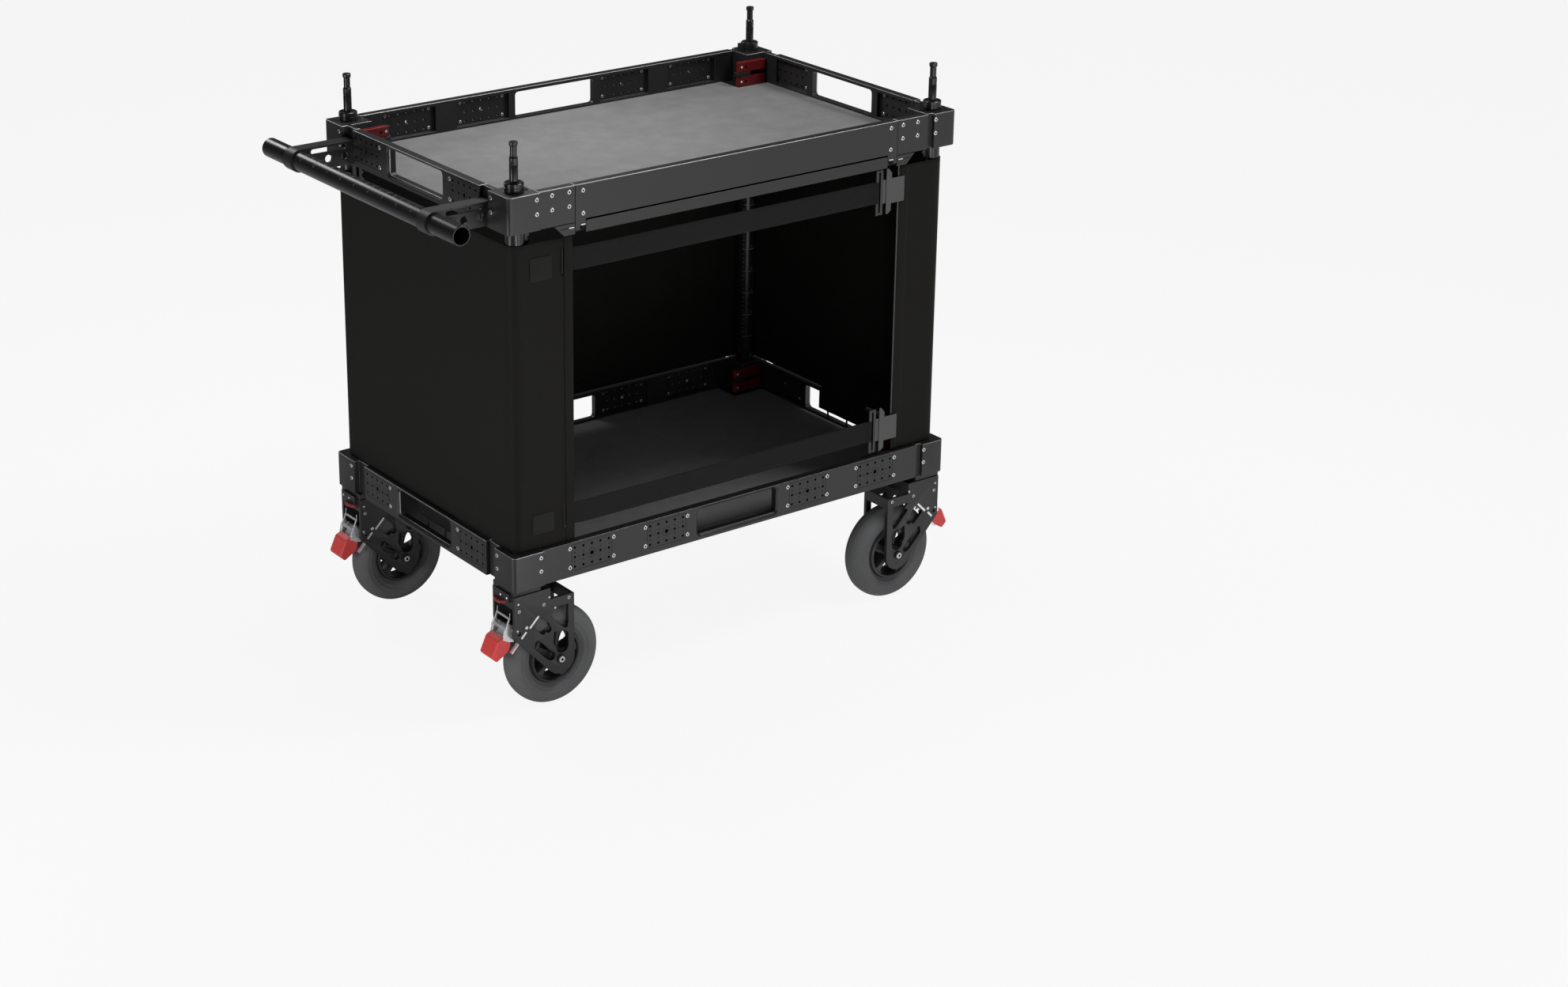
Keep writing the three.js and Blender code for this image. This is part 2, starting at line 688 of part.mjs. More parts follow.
function tyre() {
  const half = tyreWidth / 2;
  const foot = tyreFootWidth / 2;
  const flank = [[rimRadius + fit, foot], [tyreFootRadius, foot], [tyreStepRadius, half]];
  const shoulder = [0, 1, 2, 3].map((i) => {
    const turn = (i / 3) * quarterTurn;
    return [
      wheelRadius - tyreShoulder + tyreShoulder * Math.sin(turn),
      half - tyreShoulder + tyreShoulder * Math.cos(turn),
    ];
  });
  const upper = [...flank, ...shoulder];
  const lower = upper.map(([r, y]) => [r, -y]);
  return turned([...lower, ...upper.reverse(), lower[0]], wheelSides, 'y');
}

// Brake pedal: ribbed pad, arm, and a barrel with its pin
function pedal() {
  const [topX, toeX] = [-padTop.x, -padToe.x];
  const face = [];
  for (let i = 0; i < padRibs; i += 1) {
    const stations = [i / padRibs, (i + ribShare) / padRibs];
    for (const [k, share] of stations.entries()) {
      const x = topX + share * (toeX - topX) + padRibDepth * k;
      face.push([x, padTop.z + share * (padToe.z - padTop.z)]);
    }
  }
  const pad = uprightPlate(shapeOf([
    ...face, [toeX, padToe.z], [-padHeel.x, padHeel.z], [-padBack.x, padBack.z], [-padNeck.x, padNeck.z],
    [-padCrown.x, padCrown.z],
  ]), -padWidth / 2, padWidth / 2);
  const pivot = [-pedalPivotX, pedalPivotZ];
  const padMiddle = [-(padTop.x + padHeel.x) / 2, (padTop.z + padHeel.z) / 2];
  const arm = uprightPlate(
    roundEnded(pivot, padMiddle, pedalArmThickness), -pedalArmWidth / 2, pedalArmWidth / 2);
  const centre = [-pedalPivotX, 0, pedalPivotZ];
  const pinHalf = forkWidth / 2 - fit;
  const barrel = bar('y', pedalBarrelRadius, -pedalBarrelWidth / 2, pedalBarrelWidth / 2, centre);
  return join(pad, arm, barrel, bar('y', pedalPinRadius, -pinHalf, pinHalf, centre, 12));
}

for (const { corner, sx, sy } of corners) {
  const caster = new THREE.Group();
  caster.position.set(sx * postX, sy * casterY, 0);
  caster.rotation.z = sx > 0 ? 2 * quarterTurn : 0;
  cart.add(caster);
  place(caster, `caster_fork_${corner}`, fork(), castBlack);
  place(caster, `axle_bolt_${corner}`, axleBolt(), steel, trail, 0, wheelRadius);
  place(caster, `wheel_hub_${corner}`, hub(), plasticBlack, trail, 0, wheelRadius);
  place(caster, `tyre_${corner}`, tyre(), rubberGrey, trail, 0, wheelRadius);
  place(caster, `brake_pedal_${corner}`, pedal(), plasticRed);
}

// Cover: a rear panel and two side panels that turn the corners onto the front
const coverFace = postY + coverOuter;
const coverInner = coverOuter - coverThickness;

function coverSide(flapX) {
  const outline = new THREE.Shape();
  outline.absarc(postX, postY, coverOuter, quarterTurn, 0, true);
  outline.absarc(postX, -postY, coverOuter, 0, -quarterTurn, true);
  outline.lineTo(flapX, -coverFace);
  outline.lineTo(flapX, coverThickness - coverFace);
  outline.absarc(postX, -postY, coverInner, -quarterTurn, 0, false);
  outline.absarc(postX, postY, coverInner, 0, quarterTurn, false);
  return flatPlate(outline, coverHemZ, coverTopZ);
}

const slotHalf = strapHeight / 2 + overrun;
const slots = [lowerStrapZ, upperStrapZ].map((z) => box(
  flapSlotX - flapSlotWidth / 2, flapSlotX + flapSlotWidth / 2, -coverFace - overrun,
  coverThickness + overrun - coverFace, z - slotHalf, z + slotHalf));
place(cart, 'cover_left', cut(coverSide(leftFlapX), ...slots), fabricBlack).scale.x = -1;
place(cart, 'cover_right', coverSide(rightFlapX), fabricBlack);
place(cart, 'cover_rear', box(
  fit - postX, postX - fit, coverFace - coverThickness, coverFace, coverHemZ, coverTopZ), fabricBlack);

// Strap from the left flap's slot to its clip on the right flap
function strap(z) {
  const backY = -coverFace - fit;
  const frontY = backY - strapThickness;
  const clipFrontY = frontY - coverThickness;
  const clipX = strapEndX + clipBarWidth / 2 + clipGap;
  const half = clipHeight / 2;
  return join(
    box(
      flapSlotWidth / 2 - flapSlotX, clipX + clipLength, frontY, backY,
      z - strapHeight / 2, z + strapHeight / 2),
    box(clipX - clipGap - clipBarWidth, clipX - clipGap, clipFrontY, frontY + overrun, z - half, z + half),
    box(clipX, clipX + clipLength, clipFrontY, frontY + overrun, z - half, z + half));
}

place(cart, 'strap_lower', strap(lowerStrapZ), fabricBlack);
place(cart, 'strap_upper', strap(upperStrapZ), fabricBlack);

// The origin is under the middle of the whole cart
const part = new THREE.Group();
part.add(cart);
const bounds = new THREE.Box3().setFromObject(part);
const middle = bounds.getCenter(new THREE.Vector3());
cart.position.set(-middle.x, -middle.y, -bounds.min.z);

export default part;
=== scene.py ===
# %% [markdown]
# Camera cart, dressed for a photograph.
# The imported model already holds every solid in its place, in metres. This script gives each solid
# its real surface, adds the small parts that a drawing leaves out, and sets up floor, light and camera.

# %% Load the frame
import json
import math

import bmesh
import bpy
from mathutils import Matrix, Vector, noise
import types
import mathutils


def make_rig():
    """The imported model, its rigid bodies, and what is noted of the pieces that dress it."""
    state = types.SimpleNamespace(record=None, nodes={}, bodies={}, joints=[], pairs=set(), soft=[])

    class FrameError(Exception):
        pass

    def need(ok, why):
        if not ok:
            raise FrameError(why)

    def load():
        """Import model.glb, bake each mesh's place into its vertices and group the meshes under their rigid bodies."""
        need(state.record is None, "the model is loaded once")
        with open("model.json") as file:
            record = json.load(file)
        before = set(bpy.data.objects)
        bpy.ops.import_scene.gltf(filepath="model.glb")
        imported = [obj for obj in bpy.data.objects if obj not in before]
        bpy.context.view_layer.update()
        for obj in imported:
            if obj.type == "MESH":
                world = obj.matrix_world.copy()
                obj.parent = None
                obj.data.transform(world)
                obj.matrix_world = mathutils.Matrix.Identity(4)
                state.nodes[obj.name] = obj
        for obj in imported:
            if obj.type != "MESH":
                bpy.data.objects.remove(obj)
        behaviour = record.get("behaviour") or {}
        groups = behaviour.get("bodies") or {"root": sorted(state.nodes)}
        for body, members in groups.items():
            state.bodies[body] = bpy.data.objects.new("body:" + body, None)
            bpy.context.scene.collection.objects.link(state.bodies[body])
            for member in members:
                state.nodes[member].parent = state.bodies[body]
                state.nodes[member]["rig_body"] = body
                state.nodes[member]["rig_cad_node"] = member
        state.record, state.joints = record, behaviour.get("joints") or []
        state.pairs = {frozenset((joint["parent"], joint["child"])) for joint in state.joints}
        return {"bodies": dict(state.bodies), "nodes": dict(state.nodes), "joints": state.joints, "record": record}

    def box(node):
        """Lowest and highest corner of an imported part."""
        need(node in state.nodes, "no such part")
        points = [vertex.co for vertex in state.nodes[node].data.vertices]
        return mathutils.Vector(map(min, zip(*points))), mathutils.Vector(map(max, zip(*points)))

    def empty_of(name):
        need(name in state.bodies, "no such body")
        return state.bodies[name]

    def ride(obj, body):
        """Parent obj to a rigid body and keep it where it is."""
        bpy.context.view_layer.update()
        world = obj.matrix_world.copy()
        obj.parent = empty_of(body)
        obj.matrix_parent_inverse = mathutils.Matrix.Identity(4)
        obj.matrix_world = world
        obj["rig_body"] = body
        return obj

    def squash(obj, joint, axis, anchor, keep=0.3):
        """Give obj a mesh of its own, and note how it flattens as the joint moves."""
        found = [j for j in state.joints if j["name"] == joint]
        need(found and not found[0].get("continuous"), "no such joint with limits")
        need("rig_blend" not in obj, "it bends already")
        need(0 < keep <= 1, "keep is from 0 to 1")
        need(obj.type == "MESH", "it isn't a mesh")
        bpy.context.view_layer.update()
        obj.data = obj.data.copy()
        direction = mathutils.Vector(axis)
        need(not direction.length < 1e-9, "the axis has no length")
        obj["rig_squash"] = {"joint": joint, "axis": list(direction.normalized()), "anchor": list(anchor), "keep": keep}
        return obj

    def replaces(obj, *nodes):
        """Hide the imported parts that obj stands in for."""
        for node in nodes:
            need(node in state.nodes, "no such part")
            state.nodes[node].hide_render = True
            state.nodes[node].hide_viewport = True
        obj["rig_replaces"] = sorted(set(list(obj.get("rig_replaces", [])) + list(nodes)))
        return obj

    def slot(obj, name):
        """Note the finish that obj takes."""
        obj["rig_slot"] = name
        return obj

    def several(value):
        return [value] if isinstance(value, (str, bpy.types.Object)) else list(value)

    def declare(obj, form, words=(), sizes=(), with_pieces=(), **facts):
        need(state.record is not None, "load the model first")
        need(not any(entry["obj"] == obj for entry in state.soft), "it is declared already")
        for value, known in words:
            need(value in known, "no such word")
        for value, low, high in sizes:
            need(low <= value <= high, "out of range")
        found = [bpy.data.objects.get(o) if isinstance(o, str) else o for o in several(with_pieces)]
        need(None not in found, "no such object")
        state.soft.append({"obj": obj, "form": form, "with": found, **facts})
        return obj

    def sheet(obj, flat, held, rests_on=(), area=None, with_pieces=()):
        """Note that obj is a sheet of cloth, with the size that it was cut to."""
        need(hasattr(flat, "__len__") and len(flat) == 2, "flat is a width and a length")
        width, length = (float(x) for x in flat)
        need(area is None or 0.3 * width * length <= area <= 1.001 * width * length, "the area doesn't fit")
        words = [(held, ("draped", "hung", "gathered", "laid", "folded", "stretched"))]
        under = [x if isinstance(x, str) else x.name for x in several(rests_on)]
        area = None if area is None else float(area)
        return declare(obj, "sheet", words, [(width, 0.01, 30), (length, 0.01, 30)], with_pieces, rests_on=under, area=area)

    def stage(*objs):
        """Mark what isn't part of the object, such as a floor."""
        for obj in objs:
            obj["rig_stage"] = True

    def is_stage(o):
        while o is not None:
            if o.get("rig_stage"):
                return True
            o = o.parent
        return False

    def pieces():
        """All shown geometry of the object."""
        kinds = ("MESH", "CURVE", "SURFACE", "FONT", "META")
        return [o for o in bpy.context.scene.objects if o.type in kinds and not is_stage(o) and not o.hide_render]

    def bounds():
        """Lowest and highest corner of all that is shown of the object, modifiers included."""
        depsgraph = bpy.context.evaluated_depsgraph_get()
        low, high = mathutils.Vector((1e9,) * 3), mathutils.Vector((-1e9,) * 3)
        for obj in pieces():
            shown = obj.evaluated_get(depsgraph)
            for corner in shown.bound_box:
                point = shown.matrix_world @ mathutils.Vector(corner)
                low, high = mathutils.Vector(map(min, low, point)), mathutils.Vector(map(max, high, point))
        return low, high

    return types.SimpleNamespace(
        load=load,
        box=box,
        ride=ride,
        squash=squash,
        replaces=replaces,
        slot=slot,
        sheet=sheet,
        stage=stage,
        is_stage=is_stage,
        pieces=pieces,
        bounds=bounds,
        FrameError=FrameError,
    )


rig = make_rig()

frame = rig.load()
nodes = frame["nodes"]
cad_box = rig.bounds()
print("solids:", len(nodes), "box:", cad_box)

# %% [markdown]
# Sizes are written in millimetres, as on a drawing, from the middle of the trays at floor level.
# The frame's own origin is under the middle of the whole cart, handle included, so `at` moves a
# place from the one to the other. Its shift is read from two corner blocks.

# %% Places in millimetres
MM = 0.001
left_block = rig.box("lower_block_front_left")
right_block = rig.box("lower_block_front_right")
TRAY_MIDDLE = Vector(((left_block[0][0] + right_block[1][0]) / 2, 0, 0))
LOWER_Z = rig.box("lower_rail_front")[0][2] / MM
UPPER_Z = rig.box("upper_rail_rear")[0][2] / MM
LONG_FACE, END_FACE = 324, 518
BLOCK_LONG_FACE, BLOCK_END_FACE = 328, 522
POST_X, POST_Y = 488, 294
KINGPIN_X, KINGPIN_Y = 488, 284
UP = Vector((0, 0, 1))
ACROSS = Vector((0, 1, 0))
CORNERS = {
    "front_left": (-1, -1), "front_right": (1, -1),
    "rear_left": (-1, 1), "rear_right": (1, 1),
}
TRAYS = {"lower": ("base", LOWER_Z), "upper": ("tray", UPPER_Z)}


def at(x, y, z):
    """A place given in millimetres from the trays' middle, in the frame's metres."""
    return TRAY_MIDDLE + Vector((x, y, z)) * MM


def box_middle(node):
    low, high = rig.box(node)
    return (low + high) / 2


print("tray middle", TRAY_MIDDLE, "tray undersides", LOWER_Z, UPPER_Z)

# %% [markdown]
# The camera stands where the photographer's did: about 35 degrees round to the handle's side and
# 20 degrees above, nearly 6 m away with a long lens, so the cart's lines hardly converge.
# The numbers come from a fit of known corners to the photograph.

# %% Camera
AZIMUTH = math.radians(-35.258)
ELEVATION = math.radians(19.788)
DISTANCE = 5719.4
AIM = at(-6.16, 17.20, 549.11)
PHOTO_WIDTH, PHOTO_HEIGHT = 1983, 1248
FOCAL_PIXELS = 3604.33
CENTRE_PIXEL = (802.29, 433.93)
SENSOR = 36

scene = bpy.context.scene
camera_data = bpy.data.cameras.new("camera")
camera_data.sensor_width = SENSOR
camera_data.lens = FOCAL_PIXELS / PHOTO_WIDTH * SENSOR
camera_data.shift_x = (PHOTO_WIDTH / 2 - CENTRE_PIXEL[0]) / PHOTO_WIDTH
camera_data.shift_y = (CENTRE_PIXEL[1] - PHOTO_HEIGHT / 2) / PHOTO_WIDTH
camera_data.clip_end = 100
camera = bpy.data.objects.new("camera", camera_data)
backwards = Vector((
    math.sin(AZIMUTH) * math.cos(ELEVATION), -math.cos(AZIMUTH) * math.cos(ELEVATION), math.sin(ELEVATION)))
camera.location = AIM + backwards * DISTANCE * MM
camera.rotation_euler = backwards.to_track_quat("Z", "Y").to_euler()
scene.collection.objects.link(camera)
scene.camera = camera
print("lens", round(camera_data.lens, 2), "camera at", camera.location)

# %% [markdown]
# Shader maths reads best as plain arithmetic. A `Field` is a socket, and adding or multiplying two
# fields adds the Math node that does it. `Shading` holds the nodes of a material or the world, and
# its `add` makes every other node. A `Finish` is a material round one Principled shader.

# %% Shader helpers
class Field:
    """A socket with arithmetic: an expression on it adds its Math nodes."""

    def __init__(self, shading, socket):
        self.shading = shading
        self.socket = socket

    def math(self, operation, *values):
        return self.shading.add("ShaderNodeMath", {"operation": operation}, values)

    def __add__(self, other):
        return self.math("ADD", self, other)

    def __mul__(self, other):
        return self.math("MULTIPLY", self, other)

    __radd__ = __add__
    __rmul__ = __mul__

    def sine(self):
        return self.math("SINE", self)


class Shading:
    """The nodes of a material or of the world."""

    def __init__(self, owner):
        owner.use_nodes = True
        self.tree = owner.node_tree

    def add(self, kind, settings, inputs, output=0):
        """Any node: its settings first, then the values or links of its sockets."""
        node = self.tree.nodes.new(kind)
        for key, value in settings.items():
            setattr(node, key, value)
        for key, value in inputs.items() if isinstance(inputs, dict) else enumerate(inputs):
            self.feed(node.inputs[key], value)
        return Field(self, node.outputs[output])

    def feed(self, socket, value):
        if isinstance(value, Field):
            self.tree.links.new(value.socket, socket)
        else:
            socket.default_value = value

    def show(self, kind, shader):
        """Gives a shader to an output node."""
        self.feed(self.tree.nodes.new(kind).inputs[0], shader)


class Finish(Shading):
    """A material built round one Principled shader."""

    def __init__(self, name, colour, roughness, sockets):
        self.material = bpy.data.materials.new(name)
        super().__init__(self.material)
        self.colour = colour
        self.roughness = roughness
        for socket, value in {"Base Color": (*colour, 1), "Roughness": roughness, **sockets}.items():
            self.set(socket, value)
        self.place = self.add("ShaderNodeTexCoord", {}, {}, "Object")

    def set(self, socket, value):
        self.feed(self.tree.nodes["Principled BSDF"].inputs[socket], value)

    def noise(self, scale, detail, roughness=0.5, place=None):
        return self.add("ShaderNodeTexNoise", {}, {
            "Vector": place or self.place, "Scale": scale, "Detail": detail, "Roughness": roughness})

    def range(self, value, low, high, new_low=0.0, new_high=1.0):
        return self.add("ShaderNodeMapRange", {}, {
            "Value": value, "From Min": low, "From Max": high, "To Min": new_low, "To Max": new_high})

    def mottle(self, mask, dark, light):
        """Lets the colour wander between a darker and a lighter share of itself."""
        low, high = ((*(part * share for part in self.colour), 1) for share in (dark, light))
        self.set("Base Color", self.add(
            "ShaderNodeMix", {"data_type": "RGBA"}, {"Factor": mask, 6: low, 7: high}, 2))

    def wear(self, mask, low, high, less, more):
        """Lets the roughness wander from `less` below its value to `more` above it."""
        self.set("Roughness", self.range(mask, low, high, self.roughness - less, self.roughness + more))

    def bump(self, height, distance):
        """A relief as deep as a distance in millimetres."""
        self.set("Normal", self.add(
            "ShaderNodeBump", {}, {"Height": height, "Distance": distance * MM, "Strength": 1.0}))


print("shader helpers ready")

# %% [markdown]
# A plain studio: a white floor that keeps a faint shadow, a white surround, and big soft lamps.
# Floor and surround look white to the camera, but they light the cart at a plain level, so black
# metal stays black and grey rubber stays grey. In reflections the floor is white in front of the
# cart and fades to dark behind it, as if the studio ended there: upright faces that look to the
# front mirror the bright part, and tops and backs stay dark.

# %% Floor
scene.view_settings.view_transform = "Standard"
FLOOR_SIDE = 60
FLOOR_DROP = 0.0005
FLOOR_PAINT = (0.86, 0.86, 0.86, 1)
SEEN_WHITE = 0.9
REFLECTED_FRONT = 1.0
REFLECTED_REST = 0.08
TOWARDS_BRIGHT = (0.8, -0.6, 0)
FADE_FROM, FADE_TO = 0.55, -0.15


def new_object(name, bm):
    """Turns a bmesh into an object of the scene."""
    mesh = bpy.data.meshes.new(name)
    bm.to_mesh(mesh)
    bm.free()
    made = bpy.data.objects.new(name, mesh)
    scene.collection.objects.link(made)
    return made


floor_material = bpy.data.materials.new("studio_floor")
shading = Shading(floor_material)
shading.tree.nodes.clear()
seen = shading.add("ShaderNodeLightPath", {}, {}, "Is Camera Ray")
mirrored = shading.add("ShaderNodeLightPath", {}, {}, "Is Glossy Ray")
place = shading.add("ShaderNodeTexCoord", {}, {}, "Object")
along = shading.add("ShaderNodeVectorMath", {"operation": "DOT_PRODUCT"}, (place, TOWARDS_BRIGHT), "Value")
fade = shading.add("ShaderNodeMapRange", {}, {
    "Value": along, "From Min": FADE_FROM, "From Max": FADE_TO, "To Min": REFLECTED_FRONT,
    "To Max": REFLECTED_REST})
paint = shading.add("ShaderNodeBsdfDiffuse", {}, {"Color": FLOOR_PAINT})
glow = shading.add("ShaderNodeEmission", {}, {"Strength": 1})
shading.show("ShaderNodeOutputMaterial", shading.add(
    "ShaderNodeMixShader", {}, (mirrored * fade + seen * SEEN_WHITE, paint, glow)))

bm = bmesh.new()
bmesh.ops.create_grid(bm, x_segments=1, y_segments=1, size=FLOOR_SIDE / 2)
floor = new_object("floor", bm)
floor.location.z = -FLOOR_DROP
floor.data.materials.append(floor_material)
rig.stage(floor)
print("floor", FLOOR_SIDE, "m square")

# %% [markdown]
# The surround shows white to the camera only. Each lamp has a place, a width and height in
# millimetres and a power in watts, and points at the middle of the cart. Key and front light the
# rails and the cloth, edge draws the bright upper edges, top lights the upper mat, left the
# handle's end, rim the rear edges, and inside is a dim glow under the upper tray. Two lines of
# light lie on the floor, where only the rounded corners of the blocks mirror them.

# %% World and lamps
SURROUND_LIGHT = 0.12
SURROUND_REFLECTED = 0.08
world = bpy.data.worlds.new("studio")
scene.world = world
shading = Shading(world)
shading.tree.nodes.clear()
seen = shading.add("ShaderNodeLightPath", {}, {}, "Is Camera Ray")
mirrored = shading.add("ShaderNodeLightPath", {}, {}, "Is Glossy Ray")
surround = shading.add("ShaderNodeBackground", {}, {
    "Color": (0.9, 0.93, 1.0, 1),
    "Strength": mirrored * (SURROUND_REFLECTED - SURROUND_LIGHT) + SURROUND_LIGHT})
white = shading.add("ShaderNodeBackground", {}, {"Color": (0.92, 0.92, 0.92, 1), "Strength": 1})
shading.show("ShaderNodeOutputWorld", shading.add("ShaderNodeMixShader", {}, (seen, surround, white)))

LAMPS = {
    "key": ((-1100, -2400, 300), (260, 600), 7),
    "front": ((400, -2700, 420), (1100, 700), 4),
    "top": ((-170, 150, 1800), (420, 420), 7),
    "edge": ((1500, -1300, 3200), (900, 900), 37),
    "left": ((-2900, -300, 600), (800, 800), 17),
    "rim": ((-500, 2600, 2400), (800, 800), 14),
    "inside": ((0, 0, 900), (500, 200), 0.22),
}
LAMP_AIM = at(0, 0, 600)
FLOOR_LINES = {"corner_line": (-15, 9), "side_line": (99, 7)}
LINE_REACH, LINE_WIDTH, LINE_LENGTH, LINE_Z = 1900, 250, 2800, 4


def rectangle_lamp(name, place, width, height, power):
    lamp_data = bpy.data.lights.new(name, "AREA")
    lamp_data.shape = "RECTANGLE"
    lamp_data.size = width * MM
    lamp_data.size_y = height * MM
    lamp_data.energy = power
    lamp = bpy.data.objects.new(name, lamp_data)
    lamp.location = at(*place)
    scene.collection.objects.link(lamp)
    return lamp


for name, (place, (width, height), power) in LAMPS.items():
    lamp = rectangle_lamp(name, place, width, height, power)
    lamp.rotation_euler = (lamp.location - LAMP_AIM).to_track_quat("Z", "Y").to_euler()
for name, (azimuth, power) in FLOOR_LINES.items():
    turn = math.radians(azimuth)
    place = (-BLOCK_END_FACE - LINE_REACH * math.sin(turn), -BLOCK_LONG_FACE - LINE_REACH * math.cos(turn),
             LINE_Z)
    lamp = rectangle_lamp(name, place, LINE_WIDTH, LINE_LENGTH, power)
    lamp.rotation_euler = (math.pi, 0, -turn)
    lamp.visible_camera = False
print("lamps:", ", ".join((*LAMPS, *FLOOR_LINES)))

# %% [markdown]
# The frame is black anodised aluminium. Up close its gloss is broken by a very fine grain and by
# faint handling marks, so roughness wanders a little and the colour with it. Posts and handle are
# smoother tube. Castings and forks are powder coated: the same black, duller, with the
# orange-peel bump of baked powder. Upper edges take a bright metal as a painted highlight, and
# screw sockets a near-black finish as painted shade.

# %% Black metals
def metal_finish(name, colour, roughness, metallic, grain, grain_height, mottle=0.25, shine=0.5):
    finish = Finish(name, colour, roughness, {"Metallic": metallic, "Specular IOR Level": shine})
    smear = finish.noise(9, 4, 0.6)
    fine = finish.noise(grain, 2, 0.6)
    finish.mottle(smear, 1 - mottle, 1 + mottle)
    finish.wear(smear + fine * 0.3, 0.3, 1.0, 0.07, 0.09)
    finish.bump(fine, grain_height)
    return finish.material


anodised_black = metal_finish("anodised_black", (0.013, 0.013, 0.0135), 0.40, 0, 2600, 0.012)
tube_black = metal_finish("tube_anodised_black", (0.010, 0.010, 0.0105), 0.26, 0, 2600, 0.006, shine=0.38)
powder_black = metal_finish("powder_black", (0.013, 0.013, 0.0135), 0.44, 0, 1100, 0.03)
# Painted highlight: bevels in this bright metal stand for the light that the upper edges catch.
edge_painted_highlight = metal_finish("worn_edge", (0.34, 0.34, 0.345), 0.36, 0.9, 1500, 0.01)
# Painted shade: near-black for the insides of screw sockets, dimples, bores and slits.
socket_painted_shade = metal_finish("screw_socket_dark", (0.006, 0.006, 0.006), 0.6, 0, 1500, 0.01, shine=0.1)
print("black metals ready")

# %% [markdown]
# Bright steel comes in two sorts here: satin zinc on screws, pins and bolts, and polished chrome
# on the brake linkage. Fine lines from turning and rolling stretch one way.

# %% Bright metals
def bright_finish(name, colour, roughness, line_scale):
    finish = Finish(name, colour, roughness, {"Metallic": 0.6})
    drawn_out = finish.add("ShaderNodeMapping", {}, {
        "Vector": finish.place, "Scale": (line_scale, line_scale, line_scale * 12)})
    lines = finish.noise(1, 2, place=drawn_out)
    cloud = finish.noise(60, 3)
    finish.wear(lines * 0.6 + cloud * 0.4, 0.3, 0.7, 0.06, 0.1)
    finish.mottle(cloud, 0.88, 1)
    finish.bump(lines, 0.004)
    return finish.material


zinc = bright_finish("zinc_satin", (0.88, 0.88, 0.89), 0.32, 700)
screw_zinc = bright_finish("screw_zinc", (0.72, 0.72, 0.73), 0.34, 700)
chrome = bright_finish("chrome_bright", (0.90, 0.90, 0.91), 0.16, 400)
print("bright metals ready")

# %% [markdown]
# Moulded and dyed parts: red pedals, glossy red ball knobs, black hubs and buckles, dark red cam
# levers and lock rings, and the grey of the printed scales. Each keeps a slight unevenness,
# because real moulding and dye never come out perfectly flat.

# %% Coloured parts
def plastic_finish(name, colour, roughness, grain, grain_height, coat=0.0):
    finish = Finish(name, colour, roughness, {"Coat Weight": coat})
    flow = finish.noise(14, 3)
    fine = finish.noise(grain, 2)
    finish.mottle(flow, 0.86, 1.1)
    finish.wear(fine, 0.3, 0.7, 0.06, 0.08)
    finish.bump(fine, grain_height)
    return finish.material


pedal_red = plastic_finish("pedal_red", (0.90, 0.080, 0.075), 0.42, 900, 0.03)
knob_red = plastic_finish("knob_red_gloss", (0.60, 0.020, 0.018), 0.16, 500, 0.004, 0.5)
hub_black = plastic_finish("hub_moulded_black", (0.030, 0.030, 0.032), 0.45, 1300, 0.02)
lever_red = metal_finish("lever_red_anodised", (0.15, 0.006, 0.007), 0.40, 0.2, 1800, 0.008)
collar_red = plastic_finish("lock_ring_red", (0.24, 0.02, 0.02), 0.38, 900, 0.01)
buckle_black = plastic_finish("buckle_moulded_black", (0.018, 0.018, 0.018), 0.36, 900, 0.01)
plate_grey = metal_finish("hook_plate_grey", (0.085, 0.085, 0.085), 0.45, 0.2, 900, 0.02)
rod_grey = metal_finish("cover_rod_grey", (0.05, 0.05, 0.05), 0.30, 0.6, 900, 0.01)
scale_grey = plastic_finish("scale_mark_grey", (0.22, 0.22, 0.22), 0.5, 800, 0.005)
print("coloured finishes ready")

# %% [markdown]
# Tyres are grey non-marking rubber: matt, a little dusty, with fine mould texture. The tray mats
# are closed-cell rubber sheet with a fine pebble. The lower mat's copy is a little darker: painted
# shade under the upper tray.

# %% Rubber
def rubber_finish(name, colour, roughness, pebble, pebble_height, dust=0.15):
    finish = Finish(name, colour, roughness, {"Specular IOR Level": 0.2})
    patches = finish.noise(22, 4, 0.6)
    fine = finish.noise(pebble, 2, 0.55)
    finish.mottle(finish.range(patches + fine * 0.5, 0.45, 1.1), 1 - dust, 1 + dust)
    finish.wear(patches, 0.3, 0.7, 0.05, 0.05)
    finish.bump(fine, pebble_height)
    return finish.material


tyre_rubber = rubber_finish("tyre_grey_rubber", (0.155, 0.156, 0.158), 0.72, 1500, 0.04)
mat_upper = rubber_finish("tray_mat_grey", (0.19, 0.19, 0.19), 0.85, 900, 0.10)
# Painted shade: the same mat, a little darker, for the lower tray under the upper one.
mat_lower_shaded = rubber_finish("lower_mat_grey", (0.170, 0.170, 0.171), 0.85, 900, 0.10)
print("rubber ready")

# %% [markdown]
# The cover is tightly woven black nylon with a satin face. Its weave is two sets of fine threads
# at right angles, so the bump is a product of sines along the cloth's own UV directions, and a
# little sheen lifts the grazing edges. Webbing is the same idea, coarser, with a ribbed face.

